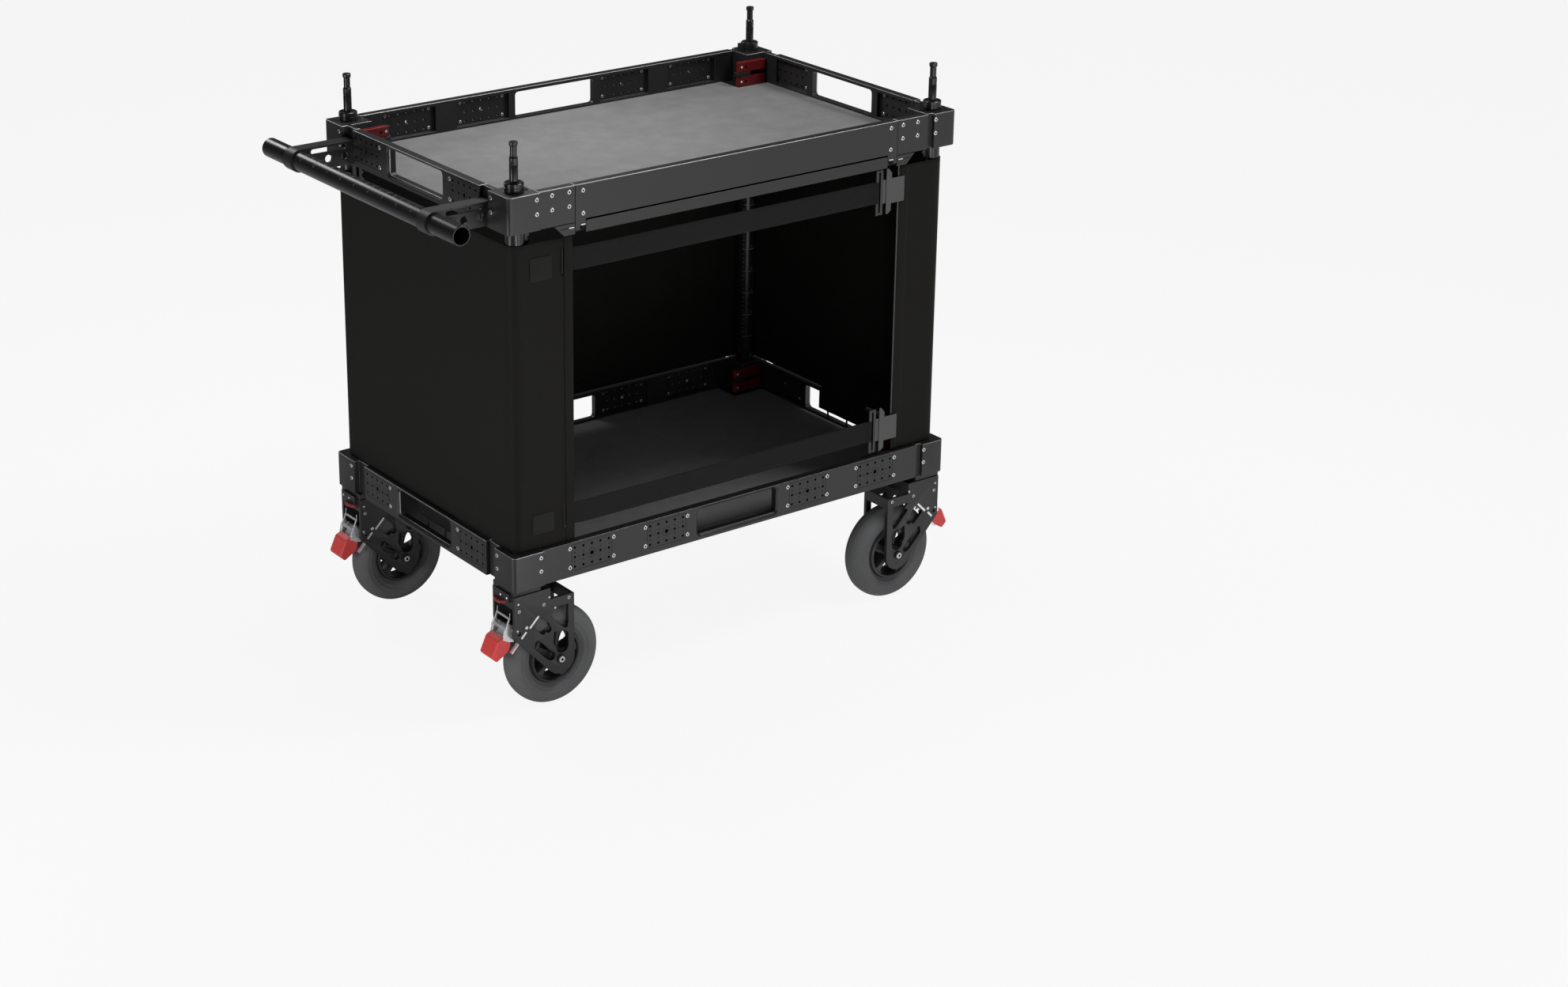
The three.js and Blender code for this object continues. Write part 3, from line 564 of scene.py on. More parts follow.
# %% Cloth
def cloth_finish(name, colour, roughness, thread, height, sheen, ribbed=False):
    finish = Finish(name, colour, roughness, {
        "Sheen Weight": sheen, "Sheen Roughness": 0.45, "Specular IOR Level": 0.11,
        "Sheen Tint": (0.9, 0.87, 0.82, 1)})
    uv = finish.add("ShaderNodeUVMap", {"uv_map": "cloth"}, {})
    turns = 2 * math.pi / (thread * MM)
    warp, weft = ((finish.add("ShaderNodeSeparateXYZ", {}, {"Vector": uv}, axis) * turns).sine()
                  for axis in ("X", "Y"))
    weave = weft if ribbed else warp * weft
    cloud = finish.noise(5, 4, 0.6)
    fuzz = finish.noise(700, 2, 0.6)
    finish.mottle(finish.range(cloud + weave * 0.12 + fuzz * 0.2, 0.3, 0.95), 0.75, 1.3)
    finish.wear(cloud + fuzz * 0.3, 0.35, 0.9, 0.06, 0.08)
    finish.bump(weave * 0.5 + fuzz * 0.3, height)
    return finish.material


cover_cloth = cloth_finish("cover_nylon_black", (0.0092, 0.0087, 0.0078), 0.60, 0.9, 0.06, 0.02)
patch_cloth = cloth_finish("patch_webbing_grey", (0.020, 0.020, 0.019), 0.65, 1.4, 0.10, 0.03)
webbing = cloth_finish("webbing_black", (0.012, 0.012, 0.012), 0.62, 2.4, 0.20, 0.03, ribbed=True)
print("cloth ready")

# %% [markdown]
# New parts are made in a bmesh. A few helpers keep that short: a block between two corners, a rod
# between two ends, a ring turned from a profile, a slab from an outline, a flat bar, and
# `add_piece`, which puts the mesh in the scene, makes it ride on its body and names its finish.

# %% Modelling helpers
BEVEL_FROM = math.radians(32)


def block(bm, low, high):
    matrix = Matrix.Translation((low + high) / 2) @ Matrix.Diagonal((*(high - low), 1))
    bmesh.ops.create_cube(bm, size=1, matrix=matrix)


def aim(direction):
    """A turn that points +Z along a direction."""
    return direction.to_track_quat("Z", "Y").to_matrix().to_4x4()


def rod(bm, start, end, radius, sides):
    """A round bar with its radius in millimetres."""
    axis = end - start
    bmesh.ops.create_cone(
        bm, cap_ends=True, segments=sides, radius1=radius * MM, radius2=radius * MM, depth=axis.length,
        matrix=Matrix.Translation((start + end) / 2) @ aim(axis))


def turned(bm, profile, place, axis, sides=24, material=0):
    """A profile of (radius, height) in millimetres, turned round an axis through a place."""
    matrix = Matrix.Translation(place) @ aim(axis)
    rings = []
    for radius, height in profile:
        turns = [2 * math.pi * i / sides for i in range(sides if radius else 1)]
        rings.append([bm.verts.new(matrix @ (Vector((
            radius * math.cos(turn), radius * math.sin(turn), height)) * MM)) for turn in turns])
    for first, second in zip(rings, rings[1:]):
        for i in range(sides):
            j = (i + 1) % sides
            corners = (first[i % len(first)], first[j % len(first)],
                       second[j % len(second)], second[i % len(second)])
            face = bm.faces.new(list(dict.fromkeys(corners)))
            face.material_index = material


def join_rings(bm, rings, closed=False):
    """Joins rings of places by bands of quads; the two ends are capped, or joined too if closed."""
    rings = [[bm.verts.new(place) for place in ring] for ring in rings]
    for first, second in zip(rings, rings[1:] + rings[:1] if closed else rings[1:]):
        for i in range(len(first)):
            j = (i + 1) % len(first)
            bm.faces.new((first[i], first[j], second[j], second[i]))
    if not closed:
        bm.faces.new(rings[0])
        bm.faces.new(rings[-1])


def upright_slab(bm, place_at, outline, start, end):
    """An outline of (x, z), made solid between two distances y."""
    join_rings(bm, [[place_at(x, y, z) for x, z in outline] for y in (start, end)])


def level_slab(bm, place_at, outline, low, high):
    """An outline of (x, y), made solid between two heights z."""
    join_rings(bm, [[place_at(x, y, z) for x, y in outline] for z in (low, high)])


def bar_between(bm, start, end, width, thickness):
    """A flat bar in a plane along the cart, as wide as `width` across the cart."""
    lift = (end - start).normalized().cross(ACROSS) * thickness / 2 * MM
    side = ACROSS * width / 2 * MM
    corners = (start - side, end - side, end + side, start + side)
    join_rings(bm, [[corner + shift for corner in corners] for shift in (-lift, lift)])


def add_piece(name, bm, body, slot, *materials, sharp=35, recalculate=True, rounded=None):
    """Puts a mesh in the scene; `rounded` is the width and the segments of its bevel."""
    if recalculate:
        bmesh.ops.recalc_face_normals(bm, faces=bm.faces)
    piece = new_object(name, bm)
    for material in materials:
        piece.data.materials.append(material)
    piece.data.shade_smooth()
    piece.data.set_sharp_from_angle(angle=math.radians(sharp))
    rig.ride(piece, body)
    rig.slot(piece, slot)
    if rounded:
        round_edges(piece, *rounded)
    return piece


def round_edges(piece, width, segments, edge_finish=None):
    bevel = piece.modifiers.new("round_edges", "BEVEL")
    if edge_finish:
        piece.data.materials.append(edge_finish)
        bevel.material = len(piece.data.materials) - 1
    bevel.width = width * MM
    bevel.segments = segments
    bevel.limit_method = "ANGLE"
    bevel.angle_limit = BEVEL_FROM
    bevel.harden_normals = True
    bevel.use_clamp_overlap = edge_finish is None


def bake_modifiers(piece):
    """Writes a piece's modifiers into its mesh."""
    graph = bpy.context.evaluated_depsgraph_get()
    baked = bpy.data.meshes.new_from_object(piece.evaluated_get(graph), depsgraph=graph)
    piece.modifiers.clear()
    piece.data = baked


def by_fork(corner):
    """Places by a caster: x from the kingpin along the trail, y across the cart, z up."""
    sx, sy = CORNERS[corner]
    return lambda x, y, z: at(sx * (KINGPIN_X - x), sy * KINGPIN_Y + y, z)


print("modelling helpers ready")

# %% [markdown]
# A solid from the drawing has knife-sharp edges and is stored as loose triangles. Real edges are
# broken by a small chamfer that catches the light, which is most of what makes black metal
# readable. So each hard part gets a copy: triangles merged, flat ones joined into whole faces,
# then a small bevel. Only bevels that face up near the top keep a bright metal, a painted highlight
# of the light that falls on them from above, and so does the inner line of the end rails' hand
# windows. The copy stands in for the solid.

# %% Dressed copies of the solids
BODY_OF = {node: body for body, names in frame["record"]["behaviour"]["bodies"].items() for node in names}
SLOT_OF = {row["node"]: row["material_slot"] for row in frame["record"]["subparts"]}
# Painted highlight: the bright bevel finish stays only on bevels that face up near the top.
HIGHLIGHT_SLOPE = 0.25
HIGHLIGHT_DEPTH = 5 * MM
WINDOW_HIGHLIGHT_DEPTHS = (3.2, 6.8)
WINDOW_HIGHLIGHT_HALF = 101


def on_window_line(place):
    """Is this on the inner line of an end rail's hand window, 5 mm behind the outer face, where a painted highlight
    runs?
    """
    depth = END_FACE - abs(place.x - TRAY_MIDDLE.x) / MM
    return WINDOW_HIGHLIGHT_DEPTHS[0] < depth < WINDOW_HIGHLIGHT_DEPTHS[1] and abs(place.y / MM) < WINDOW_HIGHLIGHT_HALF


# Painted highlight: everywhere else the bright bevel finish goes back to the body's own finish.
def keep_worn_edges(mesh, has_window_highlight):
    top = max(vert.co.z for vert in mesh.vertices)
    for face in mesh.polygons:
        if face.material_index and (face.normal.z < HIGHLIGHT_SLOPE or face.center.z < top - HIGHLIGHT_DEPTH):
            face.material_index = int(has_window_highlight and on_window_line(face.center))


def merged_copy(node):
    bm = bmesh.new()
    bm.from_mesh(nodes[node].data)
    bmesh.ops.remove_doubles(bm, verts=bm.verts, dist=0.005 * MM)
    bmesh.ops.dissolve_limit(bm, angle_limit=math.radians(0.5), verts=bm.verts, edges=bm.edges)
    return bm


def dressed(node, material, width, segments=2, cutter=None, edge_finish=None, cut_first=False):
    """A bevelled copy of a node, with holes cut where a cutter is given."""
    piece = add_piece(
        f"{node}_body", merged_copy(node), BODY_OF[node], SLOT_OF[node], material, recalculate=False)
    if not cut_first:
        round_edges(piece, width, segments, edge_finish)
    if cutter:
        cut = piece.modifiers.new("holes", "BOOLEAN")
        cut.operation = "DIFFERENCE"
        cut.solver = "EXACT"
        cut.use_self = cut_first
        cut.object = cutter
    if cutter or edge_finish:
        bake_modifiers(piece)
    if cutter:
        bpy.data.objects.remove(cutter)
    if cut_first:
        round_edges(piece, width, segments)
    if edge_finish:
        keep_worn_edges(piece.data, node.endswith(("rail_left", "rail_right")))
    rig.replaces(piece, node)
    return piece


print("bodies:", len(frame["bodies"]))

# %% [markdown]
# Castings and plates: the eight corner blocks, the cam levers, the axle bolts, the handle's
# brackets, the gate with its rod and knobs, decks and mats. The front levers are drawn lower.

# %% Castings and plates
LEVER_FOOT = (UPPER_Z + 7.5) * MM
FRONT_LEVER_SHARE = 0.7
for corner in CORNERS:
    dressed(f"lower_block_{corner}", powder_black, 1.2, edge_finish=edge_painted_highlight)
    dressed(f"upper_block_{corner}", powder_black, 1.2, edge_finish=edge_painted_highlight)
    lever = dressed(f"cam_lever_{corner}", lever_red, 1.2, 3)
    if "front" in corner:
        for vert in lever.data.vertices:
            vert.co.z = LEVER_FOOT + (vert.co.z - LEVER_FOOT) * FRONT_LEVER_SHARE
    dressed(f"axle_bolt_{corner}", powder_black, 0.8)
for node, material, width in (
        ("handle_bracket_front", powder_black, 0.7), ("handle_bracket_rear", powder_black, 0.7),
        ("drop_gate", anodised_black, 1.3), ("upper_rail_front", anodised_black, 1.3),
        ("gate_hinge_rod", zinc, 0.3), ("lower_deck", anodised_black, 0.3), ("upper_deck", anodised_black, 0.3),
        ("lower_mat", mat_lower_shaded, 0.4), ("upper_mat", mat_upper, 0.4),
        ("gate_knob_left", knob_red, 0.2), ("gate_knob_right", knob_red, 0.2)):
    # Painted highlight on the upper bevels of the gate and the front rail.
    highlight_finish = edge_painted_highlight if node in ("drop_gate", "upper_rail_front") else None
    dressed(node, material, width, edge_finish=highlight_finish)
print("castings and plates dressed")

# %% [markdown]
# A fork is two laser-cut plates. Its windows are wide, with narrow bars left between them, so they
# are cut here once more, a little larger than in the solid, as rounded outlines in the plates' plane.

# %% Forks with their windows
FORK_WINDOWS = (
    ((27, 200.5), (50, 177), (34.5, 158), (9, 181.5)),
    ((57.5, 164.5), (88.5, 141), (89.5, 119), (80.5, 113.5), (73, 117), (55.5, 134)),
    ((17.5, 149), (59.5, 115.5), (59, 103.5), (50, 101.5), (43, 105.5), (12, 137)),
    ((48.5, 195), (62, 203.5), (89, 200), (88.7, 160.5), (80.9, 161.5)),
)
WINDOW_CORNER = 4.5
CUT_HALF = 42


def rounded_outline(points, radius, segments):
    """The places of a flat polygon whose corners are rounded."""
    flat = bmesh.new()
    flat.faces.new([flat.verts.new((*point, 0)) for point in points])
    bmesh.ops.bevel(flat, geom=list(flat.verts), offset=radius, segments=segments, profile=0.5,
                    affect="VERTICES", material=-1)
    ring = [vert.co.xy for vert in list(flat.faces)[0].verts]
    flat.free()
    return ring


def cutter_object(name, bm):
    bmesh.ops.recalc_face_normals(bm, faces=bm.faces)
    return new_object(name, bm)


for corner in CORNERS:
    bm = bmesh.new()
    for window in FORK_WINDOWS:
        upright_slab(bm, by_fork(corner), rounded_outline(window, WINDOW_CORNER, 4), -CUT_HALF, CUT_HALF)
    dressed(f"caster_fork_{corner}", powder_black, 0.6, cutter=cutter_object("fork_windows", bm),
            cut_first=True)
print("forks:", len(CORNERS), "windows each:", len(FORK_WINDOWS))

# %% [markdown]
# The rails carry threaded accessory plates, one each side of a hand window. On the real cart a
# plate is let into the rail, with a fine seam round it, three rows of five tapped holes, small
# pilot holes between them and a large middle hole that goes right through. The holes are cut for
# real with one Boolean per rail, because a painted hole looks flat from the side.

# %% Accessory plates in the rails
HOLE_PITCH = 19.35
HOLE_RADIUS = 2.7
MIDDLE_RADIUS = 4.2
HOLE_DEPTH = 19
PILOT_RADIUS = 1.25
PILOT_DEPTH = 4
PILOT_RISE = 8.4
PILOT_RING = 9
OVERRUN = 1
SEAM_HALF = (45.6, 26.2)
SEAM_RADIUS = 4
SEAM_WIDTH = 0.8
SEAM_DEPTH = 0.7
PLATE_RISE = 38.6
LONG_PLATES = (-345, -172, 172, 345)
END_PLATES = (-175, 175)


class Face:
    """A rail's outer face: `along` runs on it, `out` leaves it, places are in millimetres."""

    def __init__(self, origin, along, out):
        self.origin = origin
        self.along = Vector(along)
        self.out = Vector(out)

    def at(self, u, z, depth=0.0):
        return self.origin + (self.along * u + UP * z + self.out * depth) * MM


FACES = {
    "front": Face(at(0, -LONG_FACE, 0), (1, 0, 0), (0, -1, 0)),
    "rear": Face(at(0, LONG_FACE, 0), (1, 0, 0), (0, 1, 0)),
    "left": Face(at(-END_FACE, 0, 0), (0, 1, 0), (-1, 0, 0)),
    "right": Face(at(END_FACE, 0, 0), (0, 1, 0), (1, 0, 0)),
}


def plate_rails(tray):
    """Each rail of a tray that carries plates: its side, its face and the plates' middles."""
    for side, face in FACES.items():
        if (tray, side) != ("upper", "front"):
            yield side, face, LONG_PLATES if side in ("front", "rear") else END_PLATES


def seam_cutter(bm, face, u, z):
    """A thin rounded frame, sunk a little into the face."""
    outer, inner = (rounded_outline(
        [(sign_u * (SEAM_HALF[0] + grow), sign_z * (SEAM_HALF[1] + grow))
         for sign_u, sign_z in ((-1, -1), (1, -1), (1, 1), (-1, 1))], SEAM_RADIUS + grow, 5)
        for grow in (SEAM_WIDTH / 2, -SEAM_WIDTH / 2))
    join_rings(bm, [[face.at(u + du, z + dz, depth) for du, dz in ring] for ring, depth in (
        (outer, SEAM_DEPTH), (inner, SEAM_DEPTH), (inner, -SEAM_DEPTH), (outer, -SEAM_DEPTH))], closed=True)


def plate_holes():
    """Each hole of a plate from its middle: place, radius, depth and number of sides."""
    for column in range(-2, 3):
        for row in (-1, 0, 1):
            radius = HOLE_RADIUS if column or row else MIDDLE_RADIUS
            yield column * HOLE_PITCH, row * HOLE_PITCH, radius, HOLE_DEPTH, 16
    pilots = [(sign * 2 * HOLE_PITCH, turn * HOLE_PITCH / 2) for sign in (-1, 1) for turn in (-1, 1)]
    pilots += [(sign * HOLE_PITCH, turn * PILOT_RISE) for sign in (-1, 1) for turn in (-1, 1)]
    pilots += [(sign * 1.5 * HOLE_PITCH, 0) for sign in (-1, 1)]
    turns = [i * math.pi / 4 for i in range(8)]
    pilots += [(PILOT_RING * math.cos(turn), PILOT_RING * math.sin(turn)) for turn in turns]
    for u, z in pilots:
        yield u, z, PILOT_RADIUS, PILOT_DEPTH, 8


for tray, (body, tray_z) in TRAYS.items():
    for side, face, centres in plate_rails(tray):
        bm = bmesh.new()
        middle = tray_z + PLATE_RISE
        for centre in centres:
            for u, z, radius, depth, sides in plate_holes():
                rod(bm, face.at(centre + u, middle + z, -depth), face.at(centre + u, middle + z, OVERRUN),
                    radius, sides)
            seam_cutter(bm, face, centre, middle)
        rail = dressed(f"{tray}_rail_{side}", anodised_black, 1.1, cutter=cutter_object("plate_holes", bm),
                       edge_finish=edge_painted_highlight)
        print(tray, side, "rail faces:", len(rail.data.polygons))

# %% [markdown]
# Wheels. The solids are 32-sided, which shows at this distance, so tyre and hub are turned again
# with fine steps. The tyre keeps its flat crown with a mould groove on each side, its rounded
# shoulders, the raised lip on the flank and the dished foot that tucks in to the rim.

# %% Tyres and hubs
TYRE_PROFILE = [
    (57.4, 15.4), (59.0, 16.2), (61.5, 18.6), (63.6, 21.2), (65.6, 22.3), (67.4, 22.2), (68.6, 22.6),
    (71.0, 24.0), (74.0, 25.2), (76.6, 25.5), (78.0, 25.0), (78.7, 25.0), (79.4, 25.4), (83.0, 25.0),
    (87.0, 23.6), (91.0, 21.1), (94.5, 17.8), (97.0, 14.0), (98.6, 10.9), (98.9, 9.9), (98.4, 9.4), (98.6, 8.8),
    (99.3, 8.2), (99.8, 5.0), (100.0, 2.0), (100.0, 0.7), (99.6, 0.3),
]
RIM_PROFILE = [
    (48.8, 0), (48.4, 11), (48.7, 17.4), (49.4, 20.0), (50.5, 21.4), (51.8, 21.8), (53.4, 21.2),
    (55.4, 19.0), (56.8, 16.2), (57.6, 14.0), (57.6, 0),
]
BARREL_PROFILE = [
    (6.6, 28), (9.5, 28), (10.5, 27), (10.9, 24), (13.6, 23.2), (15.4, 21), (16.2, 17), (16.8, 13),
]
SPOKES = 5
SPOKE_PHASE = math.radians(7)
SPOKE_STATIONS = ((13, 5.6, 16), (20, 5.4, 16.2), (32, 5.6, 16.4), (42, 7.4, 16.8), (50.0, 12.0, 17.4))
OCTAGON = ((1, 0.72), (0.72, 1), (-0.72, 1), (-1, 0.72), (-1, -0.72), (-0.72, -1), (0.72, -1), (1, -0.72))


def both_flanks(half_profile):
    """A profile given for one side, closed by its mirror image on the other side."""
    flipped = [(radius, -height) for radius, height in reversed(half_profile)]
    joined = half_profile + [point for point in flipped if point not in half_profile]
    return joined + joined[:1]


def spoke(bm, centre, turn):
    """A web that widens to the rim, on both sides of the wheel's middle plane."""
    outward = Vector((math.cos(turn), 0, math.sin(turn)))
    side = Vector((-math.sin(turn), 0, math.cos(turn)))
    join_rings(bm, [
        [centre + (outward * radius + side * half * a + ACROSS * depth * b) * MM for a, b in OCTAGON]
        for radius, half, depth in SPOKE_STATIONS])


for corner in CORNERS:
    centre = box_middle(f"tyre_{corner}")
    bm = bmesh.new()
    turned(bm, both_flanks(TYRE_PROFILE), centre, ACROSS, 96)
    tyre = add_piece(f"tyre_{corner}_moulded", bm, f"wheel_{corner}", "tyre_grey", tyre_rubber, sharp=50)
    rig.replaces(tyre, f"tyre_{corner}")
    bm = bmesh.new()
    turned(bm, both_flanks(RIM_PROFILE), centre, ACROSS, 72)
    turned(bm, both_flanks(BARREL_PROFILE), centre, ACROSS, 40)
    for i in range(SPOKES):
        spoke(bm, centre, SPOKE_PHASE + 2 * math.pi * i / SPOKES)
    hub = add_piece(f"wheel_hub_{corner}_moulded", bm, f"wheel_{corner}", "hub_black", hub_black, sharp=38)
    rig.replaces(hub, f"wheel_hub_{corner}")
print("wheels:", len(CORNERS))

# %% [markdown]
# Screws. Every joint on the cart is held by the same small socket screw: a bright rim round a
# hole painted near-black as painted shade. The screws on a tray's outside are one piece with two
# finishes, and those inside are another: there the plates lie in shallow pockets, where the other
# ends of their screws show.

# %% Socket screws
SCREW_SINK = 0.6
CHAMFER_SHARE = 0.18
SOCKET_DEPTH = 0.9
PLATE_SCREW = (49.7, 19.4)
PLATE_BACK = 10
INWARD = {-175: (1,), 175: (-1,)}
BLOCK_SCREW_X, BLOCK_SCREW_Y = {-1: -462, 1: 470}, 270
STUB_SCREW_X, GATE_SCREW_X = (390, 427), 360


def socket_screw(bm, place, axis, radius=4.2, height=1.0, socket=1.9, sides=18):
    chamfer = radius * CHAMFER_SHARE
    rim = [(radius, -SCREW_SINK), (radius, height - chamfer), (radius - chamfer, height), (socket, height)]
    # Painted shade: the socket's inside takes the near-black finish.
    hole = [(socket, height), (socket, height - SOCKET_DEPTH), (0, height - SOCKET_DEPTH)]
    turned(bm, rim, place, axis, sides, 0)
    turned(bm, hole, place, axis, sides, 1)


def face_screws(bm, face, places):
    for u, z in places:
        socket_screw(bm, face.at(u, z), face.out)


def plate_corners(centre, tray_z, signs=(-1, 1)):
    return [(centre + sign * PLATE_SCREW[0], tray_z + PLATE_RISE + rise * PLATE_SCREW[1])
            for sign in signs for rise in (-1, 1)]


def add_screws(name, bm, body):
    add_piece(name, bm, body, "bright_steel", screw_zinc, socket_painted_shade, sharp=30)


for tray, (body, tray_z) in TRAYS.items():
    bm = bmesh.new()
    for side, face, centres in plate_rails(tray):
        for centre in centres:
            face_screws(bm, face, plate_corners(centre, tray_z, INWARD.get(centre, (-1, 1))))
    for sx, sy in CORNERS.values():
        front = Face(at(0, sy * BLOCK_LONG_FACE, 0), (1, 0, 0), (0, sy, 0))
        end = Face(at(sx * BLOCK_END_FACE, 0, 0), (0, 1, 0), (sx, 0, 0))
        face_screws(bm, front, [(BLOCK_SCREW_X[sx], tray_z + z) for z in (58.0, 31.0)])
        face_screws(bm, end, [(sy * BLOCK_SCREW_Y, tray_z + z) for z in (58.0, 31.5)])
    if tray == "upper":
        face_screws(bm, FACES["front"], [
            (sx * x, tray_z + z) for sx in (-1, 1) for x in STUB_SCREW_X for z in (59.2, 32.2)])
    add_screws(f"{tray}_tray_screws", bm, body)
bm = bmesh.new()
face_screws(bm, FACES["front"], [(sx * GATE_SCREW_X, UPPER_Z + z) for sx in (-1, 1) for z in (57.5, 14.5)])
add_screws("gate_screws", bm, "gate")
for tray, (body, tray_z) in TRAYS.items():
    bm = bmesh.new()
    for side, face, centres in plate_rails(tray):
        for centre in centres:
            for u, z in plate_corners(centre, tray_z):
                socket_screw(bm, face.at(u, z, -PLATE_BACK), -face.out, radius=3.4, height=0.8, socket=1.7,
                             sides=14)
    add_screws(f"{tray}_inner_screws", bm, body)
print("screws set")

# %% [markdown]
# Caster plates. On each fork plate three flush screws hold the bridge, small rivets and one plain
# pin hold the brake, and a larger screw closes the axle. The bright edges of the brake's own
# plate show in the windows.

# %% Caster plates
FORK_FACE = 37.5
FORK_SCREWS = ((-19.5, 221.5), (35.5, 221.8), (92.0, 221.8))
FORK_RIVETS = ((-21.6, 237.1), (47.7, 234.2), (60.3, 209.4), (-24.1, 183.0))
RIVET_PROFILE = [(2.3, -0.4), (2.3, 0.5), (1.6, 1.1), (0, 1.3)]
PIN = (-4.1, 185.1)
PIN_PROFILE = [(3.6, -0.4), (3.6, 0.8), (2.6, 1.7), (0, 2.0)]
AXLE = (72.5, 100)
AXLE_HEAD = 41.5
BRAKE_EDGES = (((23.5, 201.5), (3.2, 181.5)), ((-4.4, 176.5), (-15.6, 165.0)))
BRAKE_PLATE_Y = 34.95
BRAKE_EDGE_SIZE = (5.9, 4.4)
for corner in CORNERS:
    by = by_fork(corner)
    bm = bmesh.new()
    for flank in (-1, 1):
        out = ACROSS * flank
        for x, z in FORK_SCREWS:
            socket_screw(bm, by(x, flank * FORK_FACE, z), out, radius=3.4, height=0.5)
        for x, z in FORK_RIVETS:
            turned(bm, RIVET_PROFILE, by(x, flank * FORK_FACE, z), out, 12)
        turned(bm, PIN_PROFILE, by(PIN[0], flank * FORK_FACE, PIN[1]), out, 16)
        socket_screw(bm, by(AXLE[0], flank * AXLE_HEAD, AXLE[1]), out, radius=6.4, height=1.2, socket=2.8)
    add_screws(f"fork_screws_{corner}", bm, f"swivel_{corner}")
    bm = bmesh.new()
    for y in (-BRAKE_PLATE_Y, BRAKE_PLATE_Y):
        for (x0, z0), (x1, z1) in BRAKE_EDGES:
            bar_between(bm, by(x0, y, z0), by(x1, y, z1), *BRAKE_EDGE_SIZE)
    add_piece(f"brake_plate_edges_{corner}", bm, f"swivel_{corner}", "bright_steel", chrome, rounded=(0.5, 2))
print("caster plates set")

# %% [markdown]
# The cover is one thin, tight cloth. Each panel starts as a grid of quads that follows the
# panel's path in plan, with UVs in metres so that the weave keeps its true scale. The cloth is
# pulled over the posts, so it is flat between them with only faint, wide waves, and it pinches
# slightly along its top and bottom hems, where it is held.

# %% Cover panels
COVER_LOW, COVER_HIGH = (corner[2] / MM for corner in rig.box("cover_left"))
COVER_HEIGHT = COVER_HIGH - COVER_LOW
COVER_X, COVER_Y = 507.6, 313.6
CLOTH_THICKNESS = 0.8
PATH_STEP = 14
LEFT_FLAP, RIGHT_FLAP = -378, 392
LEFT_FLAP_X = (-480, -470, -460, -450, -440, -430, -420, -412, -405, -402, -396, -392, -385, LEFT_FLAP)
SLOT_X, SLOT_WIDE, SLOT_HALF = 399, 3.4, 23
STRAPS = {"lower": 387.5, "upper": 885.5}
STRAP_WIDTH = 44
HELD_BY_HEM, HELD_BY_EDGE = 90, 60
WAVE_LENGTH, WAVE_HEIGHT = 210, 330
GATHER_LENGTH, GATHER_REACH, GATHER_SEED = 34, 26, 3.1
SHRINK = dict(joint="tray_height", axis=(0, 0, 1), anchor=(0, 0, COVER_LOW * MM), keep=0.579)


def running_lengths(places):
    lengths = [0.0]
    for first, second in zip(places, places[1:]):
        lengths.append(lengths[-1] + math.dist(first[:2], second[:2]))
    return lengths


def plan_path(points, step):
    """A path in plan cut in short steps. Each point is x, y and the direction outwards there."""
    path = []
    for first, second in zip(points, points[1:]):
        count = max(1, round(math.dist(first[:2], second[:2]) / step))
        path += [tuple(a + (b - a) * i / count for a, b in zip(first, second)) for i in range(count)]
    return path + [points[-1]]


def corner_arc(sx, sy, steps=7):
    """The path round one post, from the front or rear face to the end face."""
    arc = []
    for i in range(steps + 1):
        turn = math.pi / 2 * i / steps
        nx, ny = sx * math.sin(turn), sy * math.cos(turn)
        arc.append((sx * POST_X + nx * (COVER_X - POST_X), sy * POST_Y + ny * (COVER_X - POST_X), nx, ny))
    return arc


def end_path(sx, *flap):
    """From the rear edge round the end to the front, and on to the flap's edge."""
    return plan_path(corner_arc(sx, 1) + corner_arc(sx, -1)[::-1] + list(flap), PATH_STEP)


def cloth_piece(name, places, uvs, material, slot_name, thickness, left_out=()):
    """A cloth through rows of places, with its UVs in metres and a real thickness."""
    bm = bmesh.new()
    uv_layer = bm.loops.layers.uv.new("cloth")
    grid = [[bm.verts.new(place) for place in row] for row in places]
    for k in range(len(grid) - 1):
        for i in range(len(grid[0]) - 1):
            if (k, i) not in left_out:
                cell = ((k, i), (k, i + 1), (k + 1, i + 1), (k + 1, i))
                face = bm.faces.new([grid[row][column] for row, column in cell])
                for loop, (row, column) in zip(face.loops, cell):
                    loop[uv_layer].uv = uvs(row, column)
    bmesh.ops.delete(bm, geom=[vert for vert in bm.verts if not vert.link_faces], context="VERTS")
    piece = add_piece(name, bm, "base", slot_name, material, sharp=60)
    solid = piece.modifiers.new("cloth_thickness", "SOLIDIFY")
    solid.thickness = thickness * MM
    solid.offset = 0
    return piece


def in_slot(x, z):
    """Is this place in one of the left flap's two strap slots?"""
    return abs(x + SLOT_X) < SLOT_WIDE and any(abs(z - middle) < SLOT_HALF for middle in STRAPS.values())


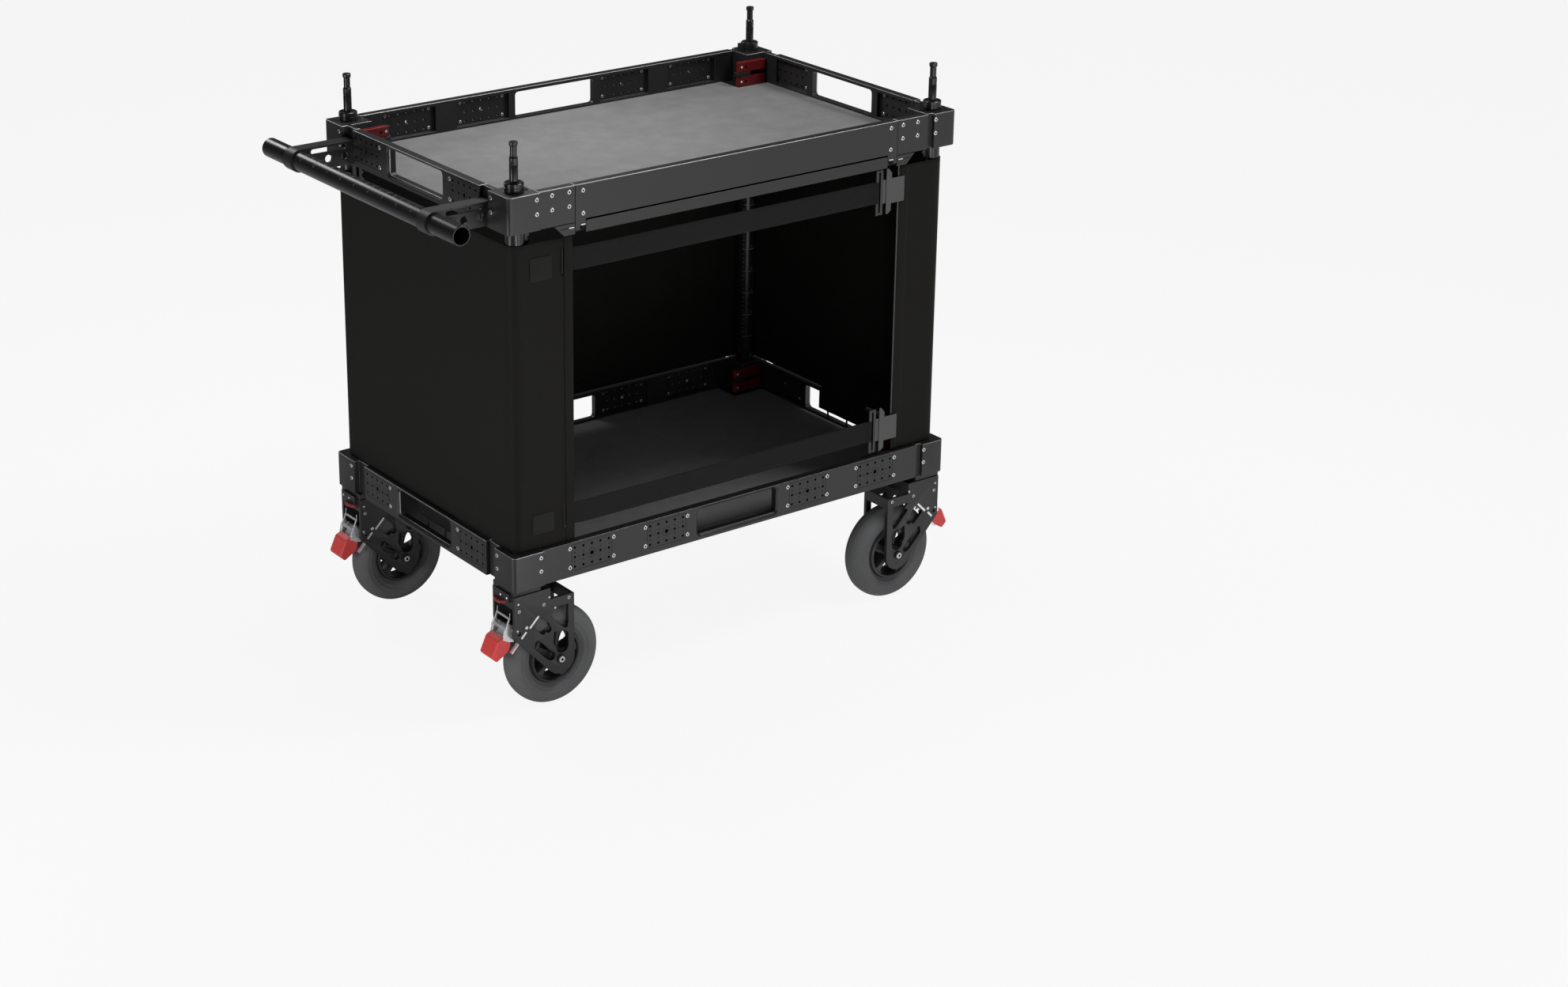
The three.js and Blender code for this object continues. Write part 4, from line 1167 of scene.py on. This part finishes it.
def cloth_panel(name, path, low, high, rows, lift=0.0, wave=0.55, pinch=0.2, thickness=CLOTH_THICKNESS,
                material=cover_cloth, slot_name="cover_fabric", seed=0.0, slotted=False):
    """A tight cloth over a plan path, lifted off the path by `lift` millimetres; and its length."""
    lengths = running_lengths(path)
    levels = [low + (high - low) * (k / rows) for k in range(rows + 1)]
    places = []
    for k, z in enumerate(levels):
        hemmed = min(k / rows, 1 - k / rows) * (high - low)
        row = []
        for (x, y, nx, ny), run in zip(path, lengths):
            slack = min(1, hemmed / HELD_BY_HEM) * min(1, min(run, lengths[-1] - run) / HELD_BY_EDGE)
            ripple = noise.noise(Vector((run / WAVE_LENGTH + seed, z / WAVE_HEIGHT, seed)))
            gather = noise.noise(Vector((run / GATHER_LENGTH + seed, seed, GATHER_SEED)))
            push = lift + wave * ripple * slack + pinch * gather * math.exp(-hemmed / GATHER_REACH)
            row.append(at(x + nx * push, y + ny * push, z))
        places.append(row)
    left_out = {(k, i) for k in range(rows) for i in range(len(path) - 1) if slotted and in_slot(
        (path[i][0] + path[i + 1][0]) / 2, low + (high - low) * (k + 0.5) / rows)}
    piece = cloth_piece(name, places, lambda row, column: (lengths[column] * MM, levels[row] * MM),
                        material, slot_name, thickness, left_out)
    soft = piece.modifiers.new("soft_edge", "BEVEL")
    soft.width = thickness * 0.3 * MM
    soft.segments = 2
    soft.limit_method = "ANGLE"
    soft.angle_limit = math.radians(50)
    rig.squash(piece, **SHRINK)
    return piece, lengths[-1]


PANELS = {
    "left": (end_path(-1) + [(x, -COVER_Y, 0, -1) for x in LEFT_FLAP_X], 66, 1.7),
    "right": (end_path(1, (RIGHT_FLAP, -COVER_Y, 0, -1)), 60, 5.3),
    "rear": (plan_path([(POST_X - 0.6, COVER_Y, 0, 1), (-POST_X + 0.6, COVER_Y, 0, 1)], 16), 60, 9.1),
}
covers = {}
for side, (path, rows, seed) in PANELS.items():
    covers[side] = cloth_panel(
        f"cover_{side}_cloth", path, COVER_LOW, COVER_HIGH, rows, seed=seed, slotted=side == "left")
    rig.replaces(covers[side][0], f"cover_{side}")
print("cover lengths (mm):", [round(length) for panel, length in covers.values()])

# %% [markdown]
# Hems, seams and patches are separate strips of the same cloth, laid on the panels: a folded
# hem inside the top and bottom edges, a bound edge on each flap, a felled seam down both rear
# corners, and two hook-and-loop patches on the left flap, where the straps can be stuck back.

# %% Hems and patches
HEM = 22
STRIP_SEED = 97
HEM_BANDS = {"bottom": (COVER_LOW + 0.5, COVER_LOW + HEM), "top": (COVER_HIGH - HEM, COVER_HIGH - 0.5)}
PATCHES = {"lower": (-470, -423, 364, 403), "upper": (-470, -423, 857, 902)}
REST_POSTS = {
    "left": ["post_front_left", "post_rear_left"], "right": ["post_front_right", "post_rear_right"],
    "rear": ["post_rear_left", "post_rear_right"],
}


def flat_strip(name, x0, x1, z0, z1, lift, material=cover_cloth, out=-1, rows=40):
    """A strip on the front (out −1) or the rear face of the cover."""
    path = plan_path([(x0, out * COVER_Y, 0, out), (x1, out * COVER_Y, 0, out)], 8)
    return cloth_panel(
        name, path, z0, z1, rows, lift, wave=0.25, pinch=0.08, material=material, seed=x0 / STRIP_SEED)[0]


hems = {}
for side, (path, rows, seed) in PANELS.items():
    hems[side] = [cloth_panel(
        f"cover_{side}_{label}_hem", path, low, high, 3, lift=-1.05, wave=0, pinch=0.12, seed=seed)[0]
        for label, (low, high) in HEM_BANDS.items()]
hems["left"].append(flat_strip(
    "cover_left_flap_hem", LEFT_FLAP - 18, LEFT_FLAP + 0.4, COVER_LOW + 1, COVER_HIGH + 5, 1.0))
hems["right"].append(flat_strip(
    "cover_right_flap_hem", RIGHT_FLAP - 0.4, RIGHT_FLAP + 24, COVER_LOW + 1, COVER_HIGH - 1, 0.95))
for side, sx in (("left", -1), ("right", 1)):
    hems[side].append(flat_strip(f"cover_rear_seam_{side}", sx * (POST_X - 16), sx * (POST_X + 1),
                                 COVER_LOW + 1, COVER_HIGH - 1, 0.95, out=1))
for label, (x0, x1, z0, z1) in PATCHES.items():
    hems["left"].append(flat_strip(f"cover_patch_{label}", x0, x1, z0, z1, 0.9, patch_cloth, rows=5))
for side, (panel, length) in covers.items():
    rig.sheet(panel, flat=(length * MM, COVER_HEIGHT * MM), held="stretched", rests_on=REST_POSTS[side],
             with_pieces=hems[side])
print("hems:", sum(len(strips) for strips in hems.values()))

# %% [markdown]
# Two webbing straps cross the opening. Each leaves a bound slot in the left flap, passes behind
# the flap's edge and runs to a buckle at the right: the webbing loops round the buckle's first
# bar, and a flat hooked plate joins the second bar to a light rod in the right flap's edge.

# %% Straps, buckles and rod
STRAP_Y = -315.4
STRAP_START = [
    (-402, -312.0, 0, -1), (-397, -311.9, 0, -1), (-388, -311.8, 0, -1), (-376, -311.9, 0, -1),
    (-368, -313.0, 0, -1), (-360, -314.6, 0, -1), (-350, STRAP_Y, 0, -1)]
STRAP_LOOP = [
    (328, -315.9, 0, -1), (331, -317.2, -0.5, -0.9), (333.5, -318.2, -0.3, -1), (337, -318.1, 0.5, -0.8),
    (338.6, -316.4, 1, 0), (337.4, -314.4, 0.5, 0.8), (334, -313.6, 0, 1), (326, -313.6, 0, 1),
    (300, -313.7, 0, 1), (262, -313.7, 0, 1)]
BUCKLE_HALF = 46
BUCKLE_BARS = (((332.1, -318.0), (338.9, -314.2)), ((342.8, -318.0), (349.2, -314.2)))
BUCKLE_BRIDGE = ((335, -317.6), (346, -314.6))
HOOK_OUTLINE = (
    (357.5, -46), (363, -46), (370, -40), (370, -26), (403, -26), (403, 25), (371, 25), (371, 36), (362, 46),
    (357.5, 46))
HOOK_DEPTHS = (-316.2, -318.0)
HOOK_STEM = ((344, -316.4), (360, -314.9))
KEEPER = ((-402.6, -315.6), (-398.8, -313.4))
EDGE_ROD = (391, -313.0)


def strap_bar(bm, plan, middle, half):
    """A block between two places in plan, from `half` below a height to `half` above it."""
    low, high = plan
    block(bm, at(*low, middle - half), at(*high, middle + half))


def stiff_piece(name, bm, material, width, segments):
    """A rounded stiff part of a strap, which shortens with the cloth when the tray goes down."""
    piece = add_piece(name, bm, "base", "strap_webbing", material, rounded=(width, segments))
    bake_modifiers(piece)
    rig.squash(piece, **SHRINK)
    return piece


for label, middle in STRAPS.items():
    path = STRAP_START + plan_path([(-340, STRAP_Y, 0, -1), (322, STRAP_Y, 0, -1)], 16) + STRAP_LOOP
    strap, strap_length = cloth_panel(
        f"strap_{label}_webbing", path, middle - STRAP_WIDTH / 2, middle + STRAP_WIDTH / 2, 6, wave=0.3,
        pinch=0, thickness=1.5, material=webbing, slot_name="strap_webbing", seed=middle / 50)
    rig.replaces(strap, f"strap_{label}")

    bm = bmesh.new()
    for bar in BUCKLE_BARS:
        strap_bar(bm, bar, middle, BUCKLE_HALF)
    for rise in (-1, 1):
        strap_bar(bm, BUCKLE_BRIDGE, middle + rise * (BUCKLE_HALF - 3), 2.5)
    buckle = stiff_piece(f"strap_{label}_buckle", bm, buckle_black, 1.3, 3)
    bm = bmesh.new()
    upright_slab(bm, lambda x, y, z: at(x, y, middle + z), HOOK_OUTLINE, *HOOK_DEPTHS)
    strap_bar(bm, HOOK_STEM, middle, 24)
    plate = stiff_piece(f"strap_{label}_hook_plate", bm, plate_grey, 0.7, 2)
    bm = bmesh.new()
    strap_bar(bm, KEEPER, middle, 24.5)
    keeper = stiff_piece(f"strap_{label}_keeper", bm, patch_cloth, 0.9, 3)
    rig.sheet(strap, flat=(STRAP_WIDTH * MM, strap_length * MM), held="stretched",
             rests_on=[covers["left"][0], buckle], with_pieces=[buckle, plate, keeper])
    print(label, "strap", round(strap_length), "mm")

bm = bmesh.new()
rod(bm, at(*EDGE_ROD, 372), at(*EDGE_ROD, 933), 1.9, 16)
cover_rod = add_piece("cover_edge_rod", bm, "base", "strap_webbing", rod_grey)
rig.squash(cover_rod, **SHRINK)

# %% [markdown]
# Posts. A post is one turned bar with a toothed rack screwed to its inboard side, marked every
# 50 mm so that all four corners can be set to one height. Its top passes through the upper block
# and ends in a 16 mm spigot with an undercut neck.

# %% Posts
POST_LOW, POST_TOP = (corner[2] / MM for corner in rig.box("post_front_left"))
SPIGOT_BASE = 1044.5
RACK_LOW, RACK_PITCH, RACK_TEETH = 337.5, 12.5, 54
RACK_BACK, RACK_ROOT, RACK_TIP, RACK_HALF = 10, 23, 27, 6
RACK_TOPS = {-1: 1027.5, 1: 1043}
RACK_END = RACK_LOW + RACK_TEETH * RACK_PITCH
POST_PROFILE = [
    (0, POST_LOW), (17.2, POST_LOW), (18, POST_LOW + 0.8), (18, SPIGOT_BASE - 9.2), (17.5, SPIGOT_BASE - 8.8),
    (17.5, SPIGOT_BASE - 8.0), (18, SPIGOT_BASE - 7.6), (18, SPIGOT_BASE - 1.4), (16.6, SPIGOT_BASE),
    (13.2, SPIGOT_BASE), (12.8, SPIGOT_BASE - 1.2), (10.6, SPIGOT_BASE - 1.2), (10.0, SPIGOT_BASE),
    (8, SPIGOT_BASE), (8, 1075.4), (7.7, 1076.0), (7.7, 1076.8), (8, 1077.4), (8, 1089.0), (6.3, 1092.0),
    (6.3, 1110.0), (8, 1113.0), (8, POST_TOP - 1.0), (7.0, POST_TOP), (0, POST_TOP),
]
for corner, (sx, sy) in CORNERS.items():
    bm = bmesh.new()
    turned(bm, POST_PROFILE, at(sx * POST_X, sy * POST_Y, 0), UP, 56)
    outline = [(RACK_BACK, RACK_LOW)]
    for tooth in range(RACK_TEETH):
        z = RACK_LOW + tooth * RACK_PITCH
        outline += [(RACK_ROOT, z), (RACK_ROOT, z + 3.2), (RACK_TIP, z + 5.2), (RACK_TIP, z + 7.3),
                    (RACK_ROOT, z + 9.3)]
    outline += [(RACK_ROOT, RACK_END), (RACK_TIP, RACK_END + 2), (RACK_TIP, RACK_TOPS[sx]),
                (RACK_BACK, RACK_TOPS[sx])]
    upright_slab(bm, lambda x, y, z: at(sx * (POST_X - x), sy * POST_Y + y, z), outline, -RACK_HALF, RACK_HALF)
    post = add_piece(f"post_{corner}_turned", bm, "base", "anodised_black", tube_black, sharp=28)
    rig.replaces(post, f"post_{corner}")
print("posts turned")

# %% [markdown]
# The push handle is a smooth 38 mm tube with rolled ends and a seam ring either side of each
# bracket's collar.

# %% Push handle
HANDLE_AXIS = box_middle("handle_tube")
HANDLE_HALF = (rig.box("handle_tube")[1].y - HANDLE_AXIS.y) / MM
COLLAR_EDGES = [collar + edge for collar in (-247, 247) for edge in (-19.5, 19.5)]
profile = [(16.2, -HANDLE_HALF), (18.2, -HANDLE_HALF), (19, -HANDLE_HALF + 0.9)]
for y in COLLAR_EDGES:
    profile += [(19, y - 0.9), (18.3, y - 0.5), (18.3, y + 0.5), (19, y + 0.9)]
profile += [(19, HANDLE_HALF - 0.9), (18.2, HANDLE_HALF), (16.2, HANDLE_HALF), (16, HANDLE_HALF - 0.6),
            (16, -HANDLE_HALF + 0.6), (16.2, -HANDLE_HALF)]
bm = bmesh.new()
turned(bm, profile, HANDLE_AXIS, ACROSS, 64)
tube = add_piece("handle_tube_smooth", bm, "tray", "cast_black", tube_black, sharp=40)
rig.replaces(tube, "handle_tube")

# %% [markdown]
# Scale marks: a fine ring line and a small figure every 50 mm on each post and along the handle,
# with shorter lines between. Figures are plain numbers, laid flat on the metal.

# %% Scale marks
MARK_LIFT = 0.08
FIGURE_SIZE = 7
POST_RADIUS, POST_FIGURE_RADIUS = 18, 18.15
TUBE_RADIUS, TUBE_FIGURE_RADIUS = 19, 19.12
TUBE_FIGURE_TURN = 0.62


def arc_mark(bm, place_at, radius, start, end, width, shift, steps=14):
    """A thin raised line part of the way round a bar; place_at turns (turn, radius, shift) to a place."""
    rows = [[bm.verts.new(place_at(start + (end - start) * i / steps, radius + MARK_LIFT, shift + edge))
             for edge in (-width / 2, width / 2)] for i in range(steps + 1)]
    for first, second in zip(rows, rows[1:]):
        bm.faces.new((first[0], second[0], second[1], first[1]))


def figure(text):
    """The flat mesh of a number, centred on its middle."""
    curve = bpy.data.curves.new(f"figure_{text}", "FONT")
    curve.body = text
    curve.size = FIGURE_SIZE * MM
    curve.align_x = "CENTER"
    curve.align_y = "CENTER"
    curve.resolution_u = 2
    holder = bpy.data.objects.new(curve.name, curve)
    scene.collection.objects.link(holder)
    graph = bpy.context.evaluated_depsgraph_get()
    mesh = bpy.data.meshes.new_from_object(holder.evaluated_get(graph), depsgraph=graph)
    bpy.data.objects.remove(holder)
    return mesh


def stamp(bm, mesh, place, right, up):
    """Adds a flat figure with its reading direction and its top direction."""
    turn = Matrix((right, up, right.cross(up))).transposed().to_4x4()
    before = len(bm.verts)
    bm.from_mesh(mesh)
    bm.verts.ensure_lookup_table()
    bmesh.ops.transform(bm, matrix=Matrix.Translation(place) @ turn, verts=bm.verts[before:])


def round_handle(turn, radius, y):
    return HANDLE_AXIS + Vector((-math.cos(turn) * radius, y, math.sin(turn) * radius)) * MM


FIGURES = {number: figure(str(number)) for number in range(1, 14)}
for corner, (sx, sy) in CORNERS.items():
    axis = at(sx * POST_X, sy * POST_Y, 0)

    def round_post(turn, radius, z):
        return axis + Vector((-sx * math.cos(turn) * radius, -sy * math.sin(turn) * radius, z)) * MM

    bm = bmesh.new()
    for number in range(1, 12):
        z = RACK_LOW + number * 50
        arc_mark(bm, round_post, POST_RADIUS, 0.4, 2.0, 0.9, z)
        for minor in range(1, 5):
            arc_mark(bm, round_post, POST_RADIUS, 0.4, 0.65, 0.6, z + minor * 10, 4)
        stamp(bm, FIGURES[number], round_post(math.pi / 2, POST_FIGURE_RADIUS, z + 6), Vector((sy, 0, 0)), UP)
    add_piece(f"post_scale_{corner}", bm, "base", "anodised_black", scale_grey, recalculate=False)

bm = bmesh.new()
figure_up = Vector((math.sin(TUBE_FIGURE_TURN), 0, math.cos(TUBE_FIGURE_TURN)))
for number in range(-8, 9):
    start, end = (1.25, 1.65) if number % 2 else (0.95, 2.5)
    arc_mark(bm, round_handle, TUBE_RADIUS, start, end, 0.9, number * 25)
    if number % 2 == 0:
        place = round_handle(TUBE_FIGURE_TURN, TUBE_FIGURE_RADIUS, number * 25)
        stamp(bm, FIGURES[abs(number) // 2 + 5], place, -ACROSS, figure_up)
add_piece("handle_scale", bm, "tray", "cast_black", scale_grey, recalculate=False)
print("scales marked")

# %% [markdown]
# Each lower corner has the same pair of red cam levers as the upper one. They clamp the foot of
# the post, so they never move with the tray. All levers have a bright pivot pin and, near it, a
# thumb dimple drawn as a flat near-black disc: painted shade.

# %% Lower cam levers and lever pins
LOWER_LEVER_DROP = UPPER_Z - LOWER_Z - 6.5
LEVER_BASE, LEVER_LEVELS = 7.5, (17.5, 48.5)
LEVER_MARKS = (
    (432, [(2.6, -0.5), (2.6, 0.4), (1.9, 1.0), (0, 1.1)], 14),
    # The thumb dimple: a flat disc in the near-black finish, painted shade.
    (443, [(3.2, -0.3), (3.2, 0.12), (0, 0.12)], 16),
)
for corner, (sx, sy) in CORNERS.items():
    bm = merged_copy(f"cam_lever_{corner}")
    bmesh.ops.translate(bm, vec=UP * -LOWER_LEVER_DROP * MM, verts=bm.verts)
    add_piece(f"lower_lever_{corner}", bm, "base", "lever_red", lever_red, recalculate=False, rounded=(1.2, 3))
    bm = bmesh.new()
    block(bm, at(sx * (POST_X - 66), sy * (POST_Y - 48), LOWER_Z + 35.2),
          at(sx * (POST_X - 33), sy * (POST_Y - 33), LOWER_Z + 43.8))
    add_piece(f"lower_ear_{corner}", bm, "base", "cast_black", powder_black, rounded=(1.0, 2))
for tray, drop in (("upper", 0), ("lower", LOWER_LEVER_DROP)):
    for corner, (sx, sy) in CORNERS.items():
        face_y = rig.box(f"cam_lever_{corner}")[0 if sy > 0 else 1].y
        share = FRONT_LEVER_SHARE if sy < 0 and tray == "upper" else 1
        out = Vector((0, -sy, 0))
        bm = bmesh.new()
        for z in LEVER_LEVELS:
            level = UPPER_Z + LEVER_BASE + (z - LEVER_BASE) * share - drop
            for finish, (x, profile, sides) in enumerate(LEVER_MARKS):
                turned(bm, profile, at(sx * x, face_y / MM, level), out, sides, finish)
        add_piece(f"{tray}_lever_pins_{corner}", bm, f"lever_{corner}" if tray == "upper" else "base",
                  "bright_steel", zinc, socket_painted_shade, sharp=30)
print("levers ready")

# %% [markdown]
# Brake pedals. Each is one moulded pad on an arm, wider than its arm, with rounded edges and a
# fine ribbed tread on the face that the foot meets.

# %% Brake pedals
PIVOT_X, PIVOT_Z, PIVOT_HALF = 20, 176, 31
PAD_HALF, ARM_HALF = 22, 15
PAD_OUTLINE = ((57, 165), (71.5, 133), (60, 122), (33, 138), (28, 154), (44, 170.5))
ARM_OUTLINE = ((44, 162), (24, 183), (15, 180), (13, 171), (18, 168), (36, 146))
TREAD_RIBS = 9


def out_from(corner):
    """Places by a caster: x outwards from the kingpin, y towards the cart's middle, z up."""
    sx, sy = CORNERS[corner]
    return lambda x, y, z: at(sx * (KINGPIN_X + x), sy * (KINGPIN_Y - y), z)


for corner in CORNERS:
    by = out_from(corner)
    body = f"pedal_{corner}"
    bm = bmesh.new()
    upright_slab(bm, by, PAD_OUTLINE, -PAD_HALF, PAD_HALF)
    pedal = add_piece(f"brake_pedal_{corner}_moulded", bm, body, "pedal_red", pedal_red, rounded=(3.2, 4))
    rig.replaces(pedal, f"brake_pedal_{corner}")
    bm = bmesh.new()
    upright_slab(bm, by, ARM_OUTLINE, -ARM_HALF, ARM_HALF)
    rod(bm, by(PIVOT_X, -PIVOT_HALF, PIVOT_Z), by(PIVOT_X, PIVOT_HALF, PIVOT_Z), 4, 20)
    add_piece(f"pedal_arm_{corner}", bm, body, "bright_steel", zinc, rounded=(0.8, 2))
    bm = bmesh.new()
    for rib in range(1, TREAD_RIBS + 1):
        x, z = (top + (foot - top) * rib / (TREAD_RIBS + 1) for top, foot in zip(*PAD_OUTLINE[:2]))
        rod(bm, by(x, -PAD_HALF + 2, z), by(x, PAD_HALF - 2, z), 0.85, 10)
    add_piece(f"pedal_tread_{corner}", bm, body, "pedal_red", pedal_red)
print("pedals moulded")

# %% [markdown]
# Swivel lock and linkage. Under the corner block a black housing carries a red release ring.
# Below it an open chrome frame slopes down to a second bracket above the pedal, with a chrome
# side plate at the pivot and a bright shoe beside the tyre.

# %% Swivel locks and linkages
LOCK_HOUSING = ((24, -24), (35, -24), (35, 23), (24, 23))
LOCK_RING = ((27, 26), (37, 25), (42, 15), (44, 4), (42.5, -4), (36, -10), (27, -12))
LINK_PLATE = ((37, 194), (33.5, 195), (30, 188), (23, 156), (34, 158), (47, 165), (43, 183))
SIDE_BARS = (
    (21, (31, 204.5), (39.5, 184.5), 2.6, 3.2), (20, (39.5, 185), (45, 165), 5.0, 1.8),
    (27, (15, 155), (32.5, 136), 7.0, 3.4),
)
CROSS_BARS = (
    ((30.4, 206), (31.9, 202.4), 3.4), ((38.6, 187), (41.0, 181.5), 3.0), ((43.6, 169.5), (45, 164.5), 1.8),
)
CROSS_WIDTH = 45
LINK_PLATE_Y, LINK_PLATE_HALF = 22.6, 0.9
LOCK_BUTTON = [(2.4, -0.5), (2.4, 1.0), (1.2, 1.8), (0, 1.9)]
for corner, (sx, sy) in CORNERS.items():
    by = out_from(corner)
    body = f"swivel_{corner}"
    bm = bmesh.new()
    level_slab(bm, by, LOCK_HOUSING, 238, 256)
    add_piece(f"lock_housing_{corner}", bm, body, "cast_black", powder_black, rounded=(1.0, 2))
    bm = bmesh.new()
    level_slab(bm, by, LOCK_RING, 232.5, 239)
    add_piece(f"lock_ring_{corner}", bm, body, "lever_red", collar_red, rounded=(1.2, 3))
    bm = bmesh.new()
    for y in (-19.4, 2):
        turned(bm, LOCK_BUTTON, by(35, y, 247.5), Vector((sx, 0, 0)), 12)
    for side in (-1, 1):
        for y, (x0, z0), (x1, z1), width, thickness in SIDE_BARS:
            bar_between(bm, by(x0, side * y, z0), by(x1, side * y, z1), width, thickness)
        y = side * LINK_PLATE_Y
        upright_slab(bm, by, LINK_PLATE, y - LINK_PLATE_HALF, y + LINK_PLATE_HALF)
        rod(bm, by(31, side * 21.5, 204), by(30, side * 21.5, 216), 0.9, 8)
    for (x0, z0), (x1, z1), thickness in CROSS_BARS:
        bar_between(bm, by(x0, 0, z0), by(x1, 0, z1), CROSS_WIDTH, thickness)
    add_piece(f"brake_linkage_{corner}", bm, body, "bright_steel", chrome, rounded=(0.5, 2))
print("locks and linkages set")

# %% [markdown]
# The gate turns on a rod through ears at both its ends. A washer and a bush sit in each ear, both
# in the near-black finish as painted shade, under a bright cap, and the rod's end shows in a slit
# of the sill beyond it. Near-black strips along the sill's slits are painted shade too.

# %% Gate hinges
HINGE_Z = UPPER_Z - 11.5
BUSH_X = 361
WASHER_PROFILE = [(6.2, -1), (6.2, 0.6), (5.7, 1.1), (4.6, 1.1), (4.4, 0)]
BUSH_PROFILE = [(4.4, -0.5), (4.4, 0.8), (3.6, 1.3), (0, 1.3)]
# Painted shade: thin near-black strips laid along the sill's slits.
SLIT_SHADES = ((391, 410, HINGE_Z + 2.3, HINGE_Z + 3.5), (377, 421.5, UPPER_Z - 0.9, UPPER_Z + 0.8))
out = FACES["front"].out
for sx, name in ((-1, "left"), (1, "right")):
    bm = bmesh.new()
    turned(bm, WASHER_PROFILE, at(sx * BUSH_X, -LONG_FACE, HINGE_Z + 0.6), out, 24, 1)
    turned(bm, BUSH_PROFILE, at(sx * BUSH_X, -LONG_FACE, HINGE_Z - 0.8), out, 20, 1)
    block(bm, at(sx * BUSH_X - 4.8, -325.5, HINGE_Z + 4.4), at(sx * BUSH_X + 4.8, -323.6, HINGE_Z + 6.8))
    rod(bm, at(sx * 380, -324.2, HINGE_Z + 3), at(sx * 391, -324.2, HINGE_Z + 3), 1.1, 10)
    add_screws(f"gate_bush_{name}", bm, "tray")
bm = bmesh.new()
for sx in (-1, 1):
    for inner, outer, low, high in SLIT_SHADES:
        left, right = sorted((sx * inner, sx * outer))
        block(bm, at(left, -324.25, low), at(right, -323.5, high))
add_piece("gate_sill_seams", bm, "tray", "anodised_black", socket_painted_shade)
print("gate hinges set")

# %% [markdown]
# From each end panel of the cover a short flap hangs inside the lower tray, over the rail's top
# and down behind the hand window. It is sewn inside the panel's bottom hem and carries two ties.

# %% Inner flaps with their ties
FLAP_PROFILE = (
    (505.4, 346), (505.4, 338), (505.0, 335.6), (503.6, 334.4), (501.2, 334.4), (499.6, 333.9), (499.2, 332),
    (499.2, 322), (499.1, 312), (499.0, 302), (498.9, 296), (498.8, 289.6))
FLAP_FROM, FLAP_TO = -103, 47
FLAP_WAVE, FLAP_WAVE_DROP, FLAP_SEED = 30, 40, 7.7
TIES = (-48, 15)
TIE_HALF = 2.6
TIE_PROFILE = ((498.0, 296), (497.8, 290), (498.0, 283), (498.4, 276), (498.6, 271.5))


def hung_strip(name, sx, profile, y0, y1, columns, material, slot_name, thickness, wave=0.0):
    """A cloth strip that hangs along one profile of (x, z) from end to end; and its drop."""
    drops = running_lengths(profile)
    ys = [y0 + (y1 - y0) * i / columns for i in range(columns + 1)]
    places = []
    for (x, z), drop in zip(profile, drops):
        swing = wave * (drop / drops[-1]) ** 2
        row = []
        for y in ys:
            flutter = noise.noise(Vector((y / FLAP_WAVE, drop / FLAP_WAVE_DROP, FLAP_SEED)))
            row.append(at(sx * (x - swing * abs(flutter)), y, z))
        places.append(row)
    strip = cloth_piece(name, places, lambda row, column: ((ys[column] - y0) * MM, drops[row] * MM),
                        material, slot_name, thickness)
    return strip, drops[-1]


for sx, name in ((-1, "left"), (1, "right")):
    flap, drop = hung_strip(f"inner_flap_{name}", sx, FLAP_PROFILE, FLAP_FROM, FLAP_TO, 30, cover_cloth,
                            "cover_fabric", 0.7, 1.2)
    ties = [hung_strip(f"inner_flap_{name}_tie_{i}", sx, TIE_PROFILE, y - TIE_HALF, y + TIE_HALF, 3, webbing,
                       "strap_webbing", 0.9)[0] for i, y in enumerate(TIES)]
    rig.sheet(flap, flat=((FLAP_TO - FLAP_FROM) * MM, drop * MM), held="hung",
             rests_on=[f"lower_rail_{name}"], with_pieces=ties)
    print("inner flap", name, round(drop), "mm long")

# %% Finish
final_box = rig.bounds()
print("solids' box:", cad_box)
print("dressed box:", final_box)
with open("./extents.json", "w") as sizes:
    json.dump({"cad": [list(corner) for corner in cad_box], "visual": [list(corner) for corner in final_box]}, sizes)
